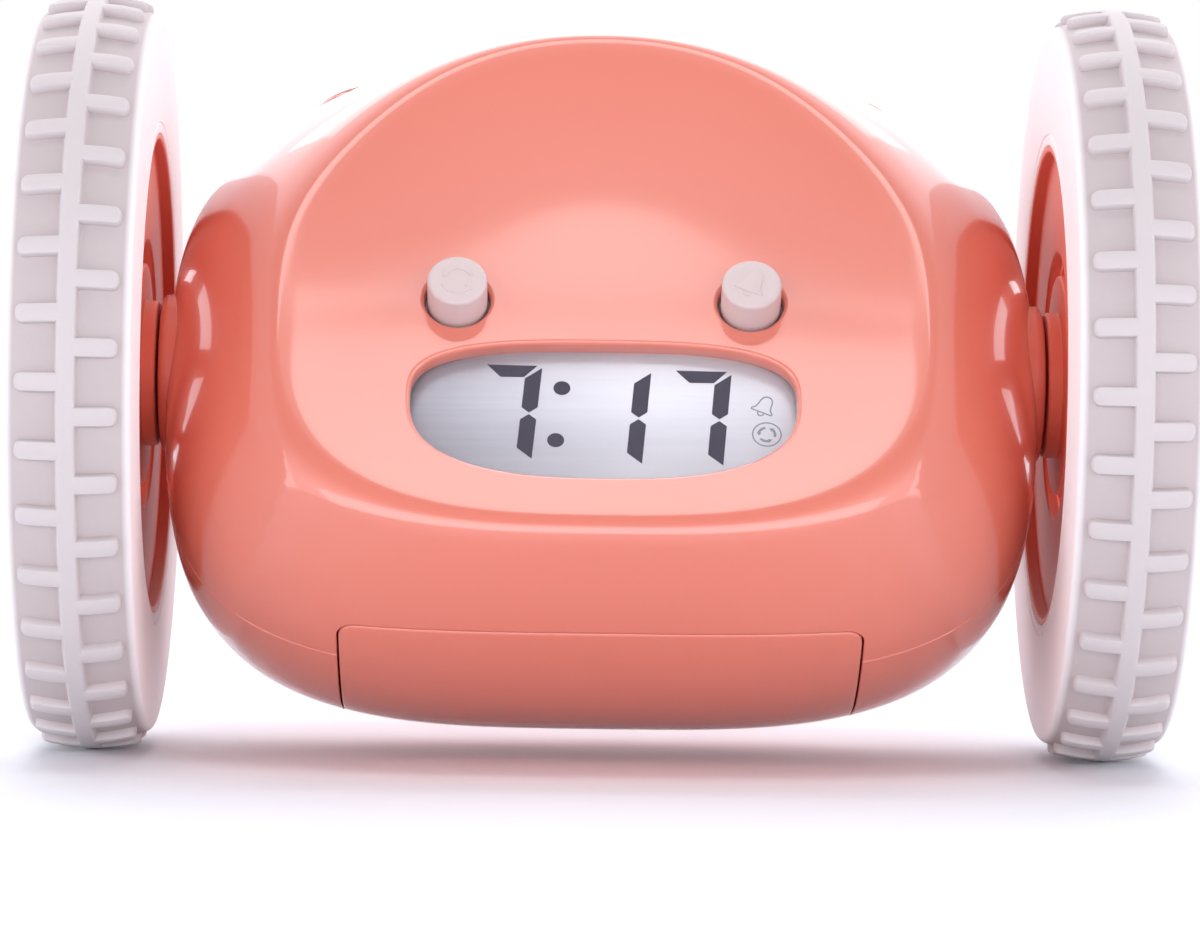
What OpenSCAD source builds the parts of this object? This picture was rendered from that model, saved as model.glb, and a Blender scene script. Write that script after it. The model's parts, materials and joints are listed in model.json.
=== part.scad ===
// Runaway alarm clock: a clock body with a sloping face, slung between two driven wheels.
// X runs along the wheel axle, the face looks towards -Y and Z is up.
// The origin lies on the floor, below the middle of the axle. Sizes are in millimetres.

/* [Wheels] */
// Diameter of a wheel over its tread
wheel_d = 89; // [86:0.5:96]
// Width of a tyre
tyre_w = 14; // [12:0.5:18]
// Lugs in each of the two rows of a tread
lug_count = 36; // [24:1:40]
// Thickness of a lug along the tread
lug_w = 2.2; // [1.5:0.1:3]
// Height of the lugs and the rib above the tread's base
lug_h = 1.1; // [0.6:0.1:1.6]
// Width of the rib round the middle of the tread
rib_w = 2; // [1.2:0.1:3]
// Diameter of the coloured disc in a wheel
disc_d = 56.8; // [50:0.2:62]
// Diameter of the hub boss
boss_d = 17.2; // [15:0.2:20]
// Diameter of the wheel shaft
shaft_d = 4; // [3:0.1:5]

/* [Body] */
// Diameter of the turned body
body_d = 83; // [80:0.5:84]
// Length of the body between its two ends
body_l = 102.4; // [100:0.4:112]
// Lean of the face away from the vertical
face_tilt = 36.5; // [30:0.5:42]
// Distance of the face from the wheel axle
face_n = 20.8; // [20.4:0.1:22]
// Width of the face at its rim
face_w = 78; // [74:0.5:84]
// Radius of the rim round the face
rim_r = 1.6; // [0.8:0.1:2]
// Depth of the hollow of the face
face_dish = 1.2; // [0.6:0.1:1.4]
// Thickness of the casing's walls
wall = 2.2; // [1.8:0.1:2.4]
// Diameter of the collar round each end's shaft hole
collar_d = 18.8; // [16:0.2:20]

/* [Face] */
// Diameter of a front button
eye_d = 6.9; // [6:0.1:8]
// Distance between the two front buttons
eye_pitch = 33.8; // [30:0.2:38]
// Height of a front button above the face
eye_proud = 3.3; // [2:0.1:4]
// Travel of a front button
eye_travel = 0.7; // [0.3:0.05:0.8]
// Width of the display window
window_w = 44; // [40:0.5:46]
// Height of the display window
window_h = 19.2; // [16:0.2:19.2]
// Depth of the display cover below the face
window_depth = 1.4; // [1:0.1:1.5]
// Width of the display glass
lcd_w = 48; // [46.5:0.5:49]
// Height of the display glass
lcd_h = 19.4; // [19.2:0.1:19.6]

/* [Snooze bar] */
// Width of the snooze bar
snooze_w = 73; // [68:1:76]
// Height of the snooze bar, from front to back
snooze_h = 26.4; // [22:0.2:27]
// Height of the snooze bar above the body
snooze_proud = 1.8; // [1.2:0.1:2.2]
// Travel of the snooze bar
snooze_travel = 1.5; // [0.8:0.1:1.6]

/* [Setting buttons] */
// Diameter of a setting button
set_d = 6; // [5:0.1:7]
// Distance between neighbouring setting buttons
set_pitch = 11; // [10:0.1:11.4]
// Height of a setting button above the body
set_proud = 1; // [0.6:0.1:1.4]
// Travel of a setting button
set_travel = 0.6; // [0.3:0.05:0.7]

/* [Battery bay] */
// Diameter of a cell
cell_d = 10.5; // [10:0.1:10.6]
// Length of a cell
cell_l = 44.5; // [43:0.1:45]
// Width of the battery door
door_w = 59.6; // [58:0.2:61]
// Height of the battery door
door_h = 30.2; // [28:0.2:31]

/* [Drive] */
// Module of the gears
gear_m = 0.6; // [0.58:0.005:0.6]
// Diameter of a motor
motor_d = 20; // [18:0.2:20.4]
// Length of a motor
motor_l = 23; // [20:0.2:23.4]
// Diameter of a motor's shaft
motor_shaft_d = 2; // [1.5:0.1:2.2]
// Diameter of the pin that an idler gear turns on
pin_d = 2; // [1.5:0.1:2.4]
// Face width of the gears
gear_w = 3.2; // [2.6:0.1:3.4]
// Diameter of the buzzer
buzzer_d = 22; // [18:0.5:23]

/* [Clearances] */
// Clearance round a piece that moves
gap = 0.35; // [0.25:0.05:0.4]
// Running clearance between a shaft and its hole, on the radius
run = 0.05; // [0.03:0.01:0.08]
// Clearance between fitted pieces that stay still
fit = 0.1; // [0.05:0.01:0.15]

/* [Hidden] */

// Colours
coral = "#e85442";
off_white = "#eee4e6";
circuit_green = "#2f6b45";
steel = "#b8bcc0";
brass = "#c9a24a";
moulded = "#e9e4d8";
dark = "#2b2b2e";

// Body form: a superellipse turned about the axle, which the face cuts off
body_r = body_d / 2;
body_half = body_l / 2;
body_power = 3.2;
face_power_up = 2.15;
face_power_down = 2.9;
face_drop = 5;
end_power = 2;
rise_power = 0.8;
face_rise = 0.9;
axle_z = wheel_d / 2;
ring_steps = 64;
turn_steps = 26;
side_levels = 7;
rim_levels = 3;
dish_levels = 3;
eps = 0.01;
far = 200;

// Wheels
collar_end = body_half + 0.8;
hub_gap = gap;
hub_start = collar_end + hub_gap;
tyre_in = collar_end + 0.5;
tyre_out = tyre_in + tyre_w;
tyre_mid = (tyre_in + tyre_out) / 2;
disc_r = disc_d / 2;
boss_r = boss_d / 2;
shaft_r = shaft_d / 2;
tread_r = wheel_d / 2;
base_r = tread_r - lug_h;
crown = 0.024;
shoulder = 1.2;
lug_end = 1.5;
lug_shift = 0.1;
disc_lip = 0.6;
disc_lip_h = 1.4;
web_t = 1.5;
web_hole_r = 15.7;
hub_flange_r = 13;
hub_flange_t = 1;
rib_t = 1.4;
disc_ribs = 6;
hub_end = tyre_in + 9.5;
cap_t = 3;
cap_edge = 0.6;

// Battery bay
door_beta = 168;
door_front_beta = 220;
door_front = 20.9;
door_corner = 1.8;
bay_in = 1.2;
cell_gap = 0.3;
cell_row_in = cell_d + cell_gap;
bay_top = body_r - 7.3;
cell_out_r = bay_top - 0.4 - cell_d / 2;
cell_in_r = cell_out_r - cell_row_in;
bay_floor = cell_in_r - cell_d / 2 - cell_gap - bay_in;
bay_half_t = cell_d + cell_gap * 1.5 + bay_in;
contact_t = 0.5;
spring_l = 2.2;
tray_rib_x = 18;
tray_rib_t = 1.6;
tray_rib_h = 11;
bay_half_x = cell_l / 2 + spring_l + contact_t + bay_in;
notch_r = 6;
notch_lift = 4.2;

// Drive: the axle carries the output gear, the idler hangs behind it, and the motor sits back
// on the axle's line, so that the body hangs level
gear_pa = 25;
gear_add = 0.8;
gear_ded = 1.05;
gear_backlash = 0.14;
pinion_teeth = 10;
idler_teeth = 36;
idler_small_teeth = 12;
output_teeth = 36;
mesh_out = gear_m * (output_teeth + idler_small_teeth) / 2;
mesh_in = gear_m * (idler_teeth + pinion_teeth) / 2;
idler_dir = 264.7;
motor_dir = 75.2;
idler_v = mesh_out * cos(idler_dir);
idler_n = mesh_out * sin(idler_dir);
motor_v = idler_v + mesh_in * cos(motor_dir);
motor_n = idler_n + mesh_in * sin(motor_dir);
gear_tip = gear_m * (output_teeth / 2 + gear_add);
pinion_tip = gear_m * (pinion_teeth / 2 + gear_add);
case_t = 1.5;
case_gap = 1.05;
case_wall = 1.2;
case_in = bay_half_x + case_gap;
gear_in = case_in + case_t + 0.4;
small_in = gear_in + gear_w;
out_in = small_in + 0.6;
cover_in = out_in + gear_w + 0.8;
case_r = gear_tip + 0.6;
case_flat = 10.2;
cradle_r = 3;
motor_in = case_in - motor_l;
can_t = 2.6;
rotor_gap = 0.4;
rotor_back = 6.2;
rotor_front = 4;
rotor_poles = 3;
rotor_slot = 1.8;
rotor_core_r = 3.4;
commutator_r = 2.4;
commutator_back = 1.2;
cap_l = 2.6;
bush_r = shaft_r + 1.6;
bush_flange_r = bush_r + 1.2;
bush_flange_t = 1;
bush_in = body_half - wall - bush_flange_t - fit;
collar_start = bush_in - 4;

// Display stack, measured along the face's normal
window_v = -17;
window_rise = 0.42;
window_mid = window_v + (window_rise - 0.5) * window_h;
window_power_up = 3;
window_power_down = 2.6;
board_n = 11.7;
board_t = 1.6;
board_top = board_n + board_t;
board_low = -30.3;
board_high = 8.2;
panel_n = board_top + 1.7;
panel_t = 2.2;
frame_t = 1;
light_t = 1.4;
strip_w = 1.6;
cover_t = 1;
cover_lip = 1.3;
cavity_top = face_n - wall - face_dish;
face_at_window = face_n - face_dish * 0.7;
cover_top = face_at_window - window_depth;
board_screw_x = lcd_w / 2 + 4.2;
board_screw_v = [5.2, -27];
board_half = board_screw_x + 2.3;
// Components behind the board: x, distance below its upper edge, width, height and thickness
board_parts = [[-6, 12, 12, 8, 1.8], [-16, 10, 5, 4, 1.2], [11, 10, 3, 6, 1.2]];
post_r = 1.9;
post_root = 0.6;
board_head_t = 1;
board_screw_r = 1;

// Buttons
eye_v = -3;
eye_r = eye_d / 2;
eye_flange_r = eye_r + 1;
eye_flange_t = 0.8;
switch_w = 6;
switch_h = 2.3;
switch_cap_r = 1.7;
switch_cap_h = 0.4;
set_beta = 61;
set_r = set_d / 2;
set_flange_t = 0.9;
set_stack = 6.4;
rear_board_r = body_r - wall - set_stack;
rear_board_h = 9;
rear_board_edge = 3;
rear_board_reach = 3.5;
rear_board_t = 1.2;

// Snooze bar and the well that it sits in; beta is the turn about the axle from the top of the face
snooze_beta = 9.5;
snooze_corner = 7;
snooze_skin = 2;
snooze_skirt = 2;
well_t = 1.3;
well_depth = snooze_skirt + snooze_travel + 0.3;
well_low = 18;
snooze_peg_r = 2;
snooze_peg_x = 17.5;
peg_head_r = snooze_peg_r + 1;
peg_head_t = 1.2;
peg_root = 0.7;
peg_top = turned_r(snooze_peg_x, 0) + peg_root;
peg_head_y = turned_r(snooze_peg_x + peg_head_r, well_depth + well_t) - 0.3;
snooze_stem_r = 1.8;
snooze_board_t = 1.2;
snooze_board_w = 28;
snooze_board_h = 12;
snooze_board_r = body_r - well_depth - well_t - 6.5;
snooze_post_x = 10.5;
snooze_stem_end = snooze_board_r + snooze_board_t + switch_h + snooze_travel + 0.2;

// Buzzer and the grille in front of it
buzzer_beta = 100;
buzzer_t = 4;
buzzer_top = body_r - wall - 2.4;
grille_hole_d = 1.7;
grille_pitch = 3.6;

// Casing screws run from behind into the front casing
screw_x = 24;
screw_up = 24.5;
screw_low_x = 33;
screw_low = -23;
screw_r = 1.25;
screw_head_r = 2.4;
boss_out_r = 3;
tube_out_r = 3.6;
screw_seat = -12;
screw_tip = 8;
screw_spots = [[screw_x, screw_up], [screw_low_x, screw_low]];

// ---------------------------------------------------------------- frames and helpers

// The body's own frame: X along the axle, Y up the face, Z out of the face
module body_frame() translate([0, 0, axle_z]) rotate([90 - face_tilt, 0, 0]) children();

// In the body's frame, turn to the direction beta behind the top: Y then points outwards
module at_beta(beta) rotate([-beta, 0, 0]) children();

module both_sides() {
  children();
  mirror([1, 0, 0]) children();
}

module on_side(side) mirror([side < 0 ? 1 : 0, 0, 0]) children();

// Cylinder along X from x0 to x1 at (v, n)
module x_rod(r, x0, x1, v = 0, n = 0)
  translate([x0, v, n]) rotate([0, 90, 0]) cylinder(r = r, h = x1 - x0, $fn = 64);

module x_tube(r_out, r_in, x0, x1, v = 0, n = 0) difference() {
  x_rod(r_out, x0, x1, v, n);
  x_rod(r_in, x0 - 1, x1 + 1, v, n);
}

// Cylinder along Z from n0 to n1 at (x, v)
module n_rod(r, n0, n1, x, v) translate([x, v, n0]) cylinder(r = r, h = n1 - n0, $fn = 48);

// Cylinder along Y from y0 to y1, at x and z
module y_rod(r, y0, y1, x = 0, z = 0)
  translate([x, y0, z]) rotate([-90, 0, 0]) cylinder(r = r, h = y1 - y0, $fn = 48);

module turned(points) rotate([0, 90, 0]) rotate_extrude($fn = 120) polygon(points);

// Plate with round corners across X and Z, from y0 to y1
module y_slab(w, h, corner, y0, y1) translate([0, y1, 0]) rotate([90, 0, 0])
  linear_extrude(y1 - y0) rounded_box(w, h, corner);

module rounded_box(w, h, r) {
  square([w - 2 * r, h], center = true);
  square([w, h - 2 * r], center = true);
  for (sx = [-1, 1], sy = [-1, 1])
    translate([sx * (w / 2 - r), sy * (h / 2 - r)]) circle(r = r, $fn = 32);
}

// ---------------------------------------------------------------- the body's form

function spow(c, p) = sign(c) * pow(abs(c), 2 / p);

function turned_r(x, inset) = (body_r - inset)
  * pow(1 - pow(abs(x) / (body_half - inset), body_power), 1 / body_power);

// The turned body, drawn in by inset
module body_turned(inset) turned([for (i = [0 : turn_steps])
  let (t = -90 + 180 * i / turn_steps)
    [max(0, (body_r - inset) * pow(abs(cos(t)), 2 / body_power)),
     (body_half - inset) * spow(sin(t), body_power)]]);

// One ring of the front casing's form at distance n from the axle
function front_ring(n, inset) = let (
  s = max(0, n) / face_n,
  h = sqrt(body_r * body_r - n * n) - inset,
  a = body_half - (body_half - face_w / 2) * pow(s, end_power) - inset,
  c = -face_drop * pow(s, 3),
  up = body_power + (face_power_up - body_power) * pow(s, rise_power),
  down = body_power + (face_power_down - body_power) * pow(s, 1.5)
) [for (i = [0 : ring_steps - 1]) let (
  t = 360 * i / ring_steps,
  p = sin(t) >= 0 ? up : down,
  b = sin(t) >= 0 ? h - c + face_rise * s * s : h + c
) [a * spow(cos(t), p), c + b * spow(sin(t), p), n]];

// The face: the last ring drawn towards its middle and sunk into a shallow hollow
function face_ring(k) = let (
  q = k / dish_levels,
  ring = front_ring(face_n, rim_r)
) [for (point = ring) [point[0] * q, point[1] * q, face_n - face_dish * (1 - q * q)]];

module front_loft(rings) {
  count = len(rings);
  points = concat([for (ring = rings) each ring], [[0, 0, rings[count - 1][0][2]]]);
  polyhedron(points, concat(
    [[for (i = [0 : ring_steps - 1]) i]],
    [for (k = [0 : count - 2], i = [0 : ring_steps - 1]) let (j = (i + 1) % ring_steps)
      [k * ring_steps + i, (k + 1) * ring_steps + i, (k + 1) * ring_steps + j]],
    [for (k = [0 : count - 2], i = [0 : ring_steps - 1]) let (j = (i + 1) % ring_steps)
      [k * ring_steps + i, (k + 1) * ring_steps + j, k * ring_steps + j]],
    [for (i = [0 : ring_steps - 1]) let (j = (i + 1) % ring_steps, last = (count - 1) * ring_steps)
      [len(points) - 1, last + j, last + i]]));
}

side_top = face_n - rim_r;
outer_rings = concat(
  [for (k = [0 : side_levels]) front_ring(side_top * k / side_levels, 0)],
  [for (k = [1 : rim_levels]) let (t = 90 * k / rim_levels)
    front_ring(side_top + rim_r * sin(t), rim_r * (1 - cos(t)))],
  [for (k = [dish_levels - 1 : -1 : 1]) face_ring(k)]);

cavity_rings = [for (k = [0 : side_levels - 1])
  front_ring(k == 0 ? -1 : cavity_top * k / (side_levels - 1), wall)];

module front_form() front_loft(outer_rings);

module half_space(front) translate([-far / 2, -far / 2, front ? 0 : -far]) cube(far);

module rear_form(inset) intersection() {
  body_turned(inset);
  half_space(false);
}

// The hollow of the whole body
module body_hollow() {
  front_loft(cavity_rings);
  intersection() {
    body_turned(wall);
    translate([0, 0, -0.5]) half_space(false);
  }
}

// ---------------------------------------------------------------- cuts shared by the casings

// The lens-shaped window: a flat top arc and a deeper lower arc, grown by extra
module window_shape(extra) {
  half_w = window_w / 2;
  top = window_h * window_rise;
  low = window_h - top;
  steps = 14;
  translate([0, window_v]) polygon(concat(
    [for (i = [0 : steps]) let (t = 180 * i / steps)
      [(half_w + extra) * spow(cos(t), window_power_up), (top + extra) * spow(sin(t), window_power_up)]],
    [for (i = [1 : steps - 1]) let (t = 180 + 180 * i / steps)
      [(half_w + extra) * spow(cos(t), window_power_down),
       (low + extra) * spow(sin(t), window_power_down)]]));
}

module snooze_slab(extra) at_beta(snooze_beta)
  y_slab(snooze_w + 2 * extra, snooze_h + 2 * extra, snooze_corner + extra, well_low, body_r + 6);

// The door's outline: its front edge is cut along a flatter direction than its other edges
module door_slab(extra) intersection() {
  at_beta(door_beta)
    y_slab(door_w + 2 * extra, door_h + 2 * extra, door_corner + extra, body_r - 9, body_r + 5);
  at_beta(door_front_beta) translate([0, 0, door_front + door_h])
    y_slab(door_w + 2 * extra, 2 * door_h + 2 * extra, door_corner + extra, -body_r, body_r + 9);
}

module finger_notch() at_beta(door_beta)
  translate([0, body_r + notch_lift, door_h / 2]) sphere(r = notch_r, $fn = 48);

// Each end has a collar that reaches inside, where the bushing's flange sits in it
module end_collars() both_sides() x_rod(collar_d / 2, collar_start, collar_end);

module shaft_holes() both_sides() {
  x_rod(bush_r + fit, collar_start - 1, collar_end + 1);
  x_rod(bush_flange_r + fit, collar_start - 1, bush_in + bush_flange_t);
}

// ---------------------------------------------------------------- casings

module front_casing() body_frame() color(coral) {
  difference() {
    union() {
      difference() {
        front_form();
        front_loft(cavity_rings);
      }
      intersection() {
        end_collars();
        half_space(true);
      }
      front_posts();
    }
    translate([0, 0, cavity_top - 1]) linear_extrude(wall + face_dish + 2) window_shape(0);
    translate([0, 0, cavity_top - 1]) linear_extrude(cover_top + 1 - cavity_top)
      window_shape(cover_lip + fit);
    for (side = [-1, 1]) n_rod(eye_r + gap, cavity_top - 1, face_n + 1, side * eye_pitch / 2, eye_v);
    difference() {
      snooze_slab(well_t + fit);
      body_turned(well_depth + well_t + fit);
    }
    door_slab(gap);
    shaft_holes();
    both_sides() for (spot = screw_spots) n_rod(screw_r, -1, screw_tip + 0.5, spot[0], spot[1]);
    both_sides() for (v = board_screw_v) n_rod(board_screw_r, board_n, cavity_top - 0.4, board_screw_x, v);
  }
}

// Screw bosses, and the posts that carry the main board
module front_posts() both_sides() {
  for (spot = screw_spots) n_rod(boss_out_r, fit / 2, cavity_top + post_root, spot[0], spot[1]);
  for (v = board_screw_v) n_rod(post_r, board_top, cavity_top + post_root, board_screw_x, v);
}

module rear_casing() body_frame() color(coral) {
  difference() {
    union() {
      difference() {
        rear_form(0);
        body_turned(wall);
      }
      intersection() {
        end_collars();
        half_space(false);
      }
      snooze_well();
      rear_posts();
    }
    difference() {
      snooze_slab(gap);
      body_turned(well_depth);
    }
    at_beta(snooze_beta) {
      for (side = [-1, 1]) y_rod(snooze_peg_r + gap, peg_head_y - 3, body_r, side * snooze_peg_x);
      y_rod(snooze_stem_r + gap, peg_head_y - 3, body_r);
    }
    door_slab(gap);
    finger_notch();
    shaft_holes();
    set_button_places() y_rod(set_r + gap, body_r - 5, body_r + 3);
    grille_holes();
    both_sides() for (spot = screw_spots) {
      n_rod(screw_r + 0.25, -far / 2, 1, spot[0], spot[1]);
      n_rod(screw_head_r + 0.3, -far / 2, screw_seat, spot[0], spot[1]);
    }
  }
}

// The block that the snooze bar's well is cut into; its underside follows the body's form
module snooze_well() difference() {
  intersection() {
    snooze_slab(well_t);
    union() {
      front_form();
      rear_form(0);
    }
  }
  body_turned(well_depth + well_t);
}

// Screw tubes, and the posts that carry the boards and the buzzer
module rear_posts() {
  intersection() {
    both_sides() for (spot = screw_spots) n_rod(tube_out_r, -far / 4, -fit / 2, spot[0], spot[1]);
    body_turned(wall / 2);
  }
  at_beta(snooze_beta) for (side = [-1, 1])
    y_rod(post_r, snooze_board_r + snooze_board_t, body_r - well_depth - well_t / 2, side * snooze_post_x);
  intersection() {
    at_beta(set_beta) for (side = [-1, 1])
      y_rod(post_r, rear_board_r + rear_board_t, body_r, side * rear_board_post);
    body_turned(wall / 2);
  }
  intersection() {
    union() {
      tray_ribs();
      case_cradles();
    }
    body_turned(wall / 2);
  }
  intersection() {
    at_beta(buzzer_beta) y_tube(buzzer_d / 2 + 1.3, buzzer_d / 2 + fit, buzzer_top - buzzer_t + 1, body_r);
    body_turned(wall / 2);
  }
}

// Ribs that the battery tray leans on
module tray_ribs() at_beta(door_beta) for (side = [-1, 1])
  translate([side * tray_rib_x - tray_rib_t / 2, bay_top - tray_rib_h, bay_half_t])
    cube([tray_rib_t, tray_rib_h, body_r]);

// Posts that carry the gear cases, hollowed to the cases' own roundness
module case_cradles() difference() {
  both_sides() n_rod(cradle_r, -body_r, idler_n - case_r, case_in + cradle_r, idler_v);
  both_sides() x_rod(case_r + case_wall, case_in - 1, cover_in + case_t, idler_v, idler_n);
}

module y_tube(r_out, r_in, y0, y1) difference() {
  y_rod(r_out, y0, y1);
  y_rod(r_in, y0 - 1, y1 + 1);
}

module set_button_places() for (i = [0 : 3])
  at_beta(set_beta) translate([(i - 1.5) * set_pitch, 0, 0]) children();

module grille_holes() at_beta(buzzer_beta) {
  y_rod(grille_hole_d / 2, body_r - 6, body_r + 2);
  for (ring = [1, 2], k = [0 : ring * 6 - 1]) let (t = 360 * k / (ring * 6))
    y_rod(grille_hole_d / 2, body_r - 6, body_r + 2,
      ring * grille_pitch * cos(t), ring * grille_pitch * sin(t));
}

module battery_door() body_frame() color(coral) {
  difference() {
    intersection() {
      union() {
        front_form();
        rear_form(0);
      }
      door_slab(0);
    }
    body_hollow();
    finger_notch();
  }
}

// ---------------------------------------------------------------- display

module lcd_cover() body_frame() color("#e8eef0", 0.35)
  translate([0, 0, cover_top - cover_t]) linear_extrude(cover_t) window_shape(cover_lip);

module lcd_panel() body_frame() color("#c9cdd2")
  translate([-lcd_w / 2, window_mid - lcd_h / 2, panel_n]) cube([lcd_w, lcd_h, panel_t]);

module lcd_frame() body_frame() color(moulded) difference() {
  translate([-lcd_w / 2 - frame_t, window_mid - lcd_h / 2 - frame_t, board_top])
    cube([lcd_w + 2 * frame_t, lcd_h + 2 * frame_t, panel_n + panel_t - board_top]);
  translate([-lcd_w / 2 - fit, window_mid - lcd_h / 2 - fit, board_top - 1])
    cube([lcd_w + 2 * fit, lcd_h + 2 * fit, 9]);
}

module lcd_backlight() body_frame() color("#f4f4ee")
  translate([-lcd_w / 2 + 0.5, window_mid - lcd_h / 2 + strip_w + 0.8, board_top])
    cube([lcd_w - 1, lcd_h - strip_w - 1.2, light_t]);

module lcd_connector() body_frame() color("#e07a70")
  translate([-lcd_w / 2 + 1, window_mid - lcd_h / 2 + 0.4, board_top])
    cube([lcd_w - 2, strip_w, panel_n - board_top]);

module main_board() body_frame() color(circuit_green) difference() {
  union() {
    translate([-board_half, board_low, board_n]) cube([2 * board_half, board_high - board_low, board_t]);
    for (part = board_parts) translate([part[0], board_high - part[1], board_n - part[4]])
      cube([part[2], part[3], part[4] + board_t / 2]);
  }
  both_sides() {
    for (v = board_screw_v) n_rod(board_screw_r + 0.15, board_n - 1, board_top + 1, board_screw_x, v);
    n_rod(boss_out_r + gap, board_n - 1, board_top + 1, screw_low_x, screw_low);
  }
}

module board_screws() body_frame() color(steel) both_sides() for (v = board_screw_v) {
  n_rod(board_screw_r - 0.05, board_n, cavity_top - 1.2, board_screw_x, v);
  n_rod(post_r, board_n - board_head_t, board_n, board_screw_x, v);
}

module tact_switch() {
  translate([-switch_w / 2, -switch_w / 2, 0]) cube([switch_w, switch_w, switch_h - switch_cap_h]);
  translate([0, 0, switch_h - switch_cap_h - eps]) cylinder(r = switch_cap_r, h = switch_cap_h, $fn = 32);
}

module front_switches() body_frame() color(dark) for (side = [-1, 1])
  translate([side * eye_pitch / 2, eye_v, board_top]) tact_switch();

// ---------------------------------------------------------------- front buttons

eye_face = face_n - face_dish * 0.72;
eye_bottom = board_top + switch_h + eye_travel + 0.15;

module eye_button(side) body_frame() color(off_white) translate([side * eye_pitch / 2, eye_v, 0]) {
  translate([0, 0, eye_bottom]) rotate_extrude($fn = 64) polygon(concat(
    [[0, 0], [eye_flange_r, 0], [eye_flange_r, eye_flange_t], [eye_r, eye_flange_t]],
    [for (i = [0 : 5]) let (t = 90 * i / 5)
      [eye_r - 0.7 + 0.7 * cos(t), eye_face + eye_proud - eye_bottom - 0.7 + 0.7 * sin(t)]],
    [[0, eye_face + eye_proud - eye_bottom]]));
}

module alarm_button() eye_button(-1);

module run_button() eye_button(1);

// ---------------------------------------------------------------- snooze bar

// A cap whose skin and skirt follow the body's form, with two snap pegs and a stem
module snooze_bar() body_frame() color(coral) {
  difference() {
    intersection() {
      snooze_slab(0);
      body_turned(-snooze_proud);
    }
    body_turned(snooze_skirt);
    intersection() {
      snooze_slab(-snooze_skin);
      body_turned(snooze_skin - snooze_proud);
    }
  }
  at_beta(snooze_beta) {
    for (side = [-1, 1]) {
      y_rod(snooze_peg_r, peg_head_y - peg_head_t, peg_top, side * snooze_peg_x);
      y_rod(peg_head_r, peg_head_y - peg_head_t, peg_head_y, side * snooze_peg_x);
    }
    y_rod(snooze_stem_r, snooze_stem_end, body_r + peg_root);
  }
}

module snooze_board() body_frame() at_beta(snooze_beta) {
  color(circuit_green) y_slab(snooze_board_w, snooze_board_h, 1, snooze_board_r,
    snooze_board_r + snooze_board_t);
  color(dark) translate([0, snooze_board_r + snooze_board_t - eps, 0])
    rotate([-90, 0, 0]) tact_switch();
}

// ---------------------------------------------------------------- setting buttons

set_bottom = rear_board_r + rear_board_t + switch_h + set_travel + 0.15;
rear_board_post = 2 * set_pitch + rear_board_reach;

module set_button_at(i) body_frame() color(off_white) at_beta(set_beta)
  translate([(i - 1.5) * set_pitch, 0, 0]) {
    y_rod(set_r, set_bottom, body_r + set_proud);
    y_rod(set_r + 1, set_bottom, set_bottom + set_flange_t);
  }

module hour_button() set_button_at(0);

module minute_button() set_button_at(1);

module time_button() set_button_at(2);

module set_button() set_button_at(3);

module rear_board() body_frame() color(circuit_green) at_beta(set_beta)
  y_slab(2 * (rear_board_post + rear_board_edge), rear_board_h, 1, rear_board_r, rear_board_r + rear_board_t);

module rear_switches() body_frame() color(dark) set_button_places()
  translate([0, rear_board_r + rear_board_t, 0]) rotate([-90, 0, 0]) tact_switch();

module buzzer() body_frame() color(dark) at_beta(buzzer_beta) difference() {
  y_rod(buzzer_d / 2, buzzer_top - buzzer_t, buzzer_top);
  y_rod(1.2, buzzer_top - 1, buzzer_top + 1);
}

// ---------------------------------------------------------------- battery bay

module battery_tray() body_frame() color(moulded) at_beta(door_beta) difference() {
  translate([-bay_half_x, bay_floor, -bay_half_t])
    cube([2 * bay_half_x, bay_top - bay_floor, 2 * bay_half_t]);
  translate([-bay_half_x + bay_in, bay_floor + bay_in, -bay_half_t + bay_in])
    cube([2 * (bay_half_x - bay_in), bay_top, 2 * (bay_half_t - bay_in)]);
}

module cell_places() at_beta(door_beta)
  for (r = [cell_in_r, cell_out_r], side = [-1, 1])
    translate([0, r, side * cell_row_in / 2]) children();

module battery_cells() body_frame() color(steel) cell_places() {
  x_rod(cell_d / 2, -cell_l / 2, cell_l / 2 - 1);
  x_rod(1.9, cell_l / 2 - 1 - eps, cell_l / 2);
}

module battery_contacts() body_frame() color(steel) both_sides() {
  at_beta(door_beta) translate([cell_l / 2 + spring_l, bay_floor + bay_in, -bay_half_t + bay_in])
    cube([contact_t, bay_top - bay_floor - bay_in - 1, 2 * (bay_half_t - bay_in)]);
  cell_places() translate([cell_l / 2 + 0.05, 0, 0]) rotate([0, 90, 0])
    cylinder(r1 = 1.6, r2 = 3.2, h = spring_l, $fn = 32);
}

// ---------------------------------------------------------------- casing screws

module casing_screws() body_frame() color(steel) both_sides() for (spot = screw_spots) {
  n_rod(screw_r - 0.05, screw_seat - 0.4, screw_tip, spot[0], spot[1]);
  difference() {
    n_rod(screw_head_r, screw_seat - 1.6, screw_seat, spot[0], spot[1]);
    translate([spot[0] - 0.3, spot[1] - 1.5, screw_seat - 2]) cube([0.6, 3, 1.1]);
    translate([spot[0] - 1.5, spot[1] - 0.3, screw_seat - 2]) cube([3, 0.6, 1.1]);
  }
}

// ---------------------------------------------------------------- gears

function polar(r, a) = [r * cos(a), r * sin(a)];

function involute_turn(rb, r) = r <= rb ? 0 :
  let (roll = sqrt(r * r / (rb * rb) - 1)) roll * 180 / PI - atan(roll);

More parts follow.
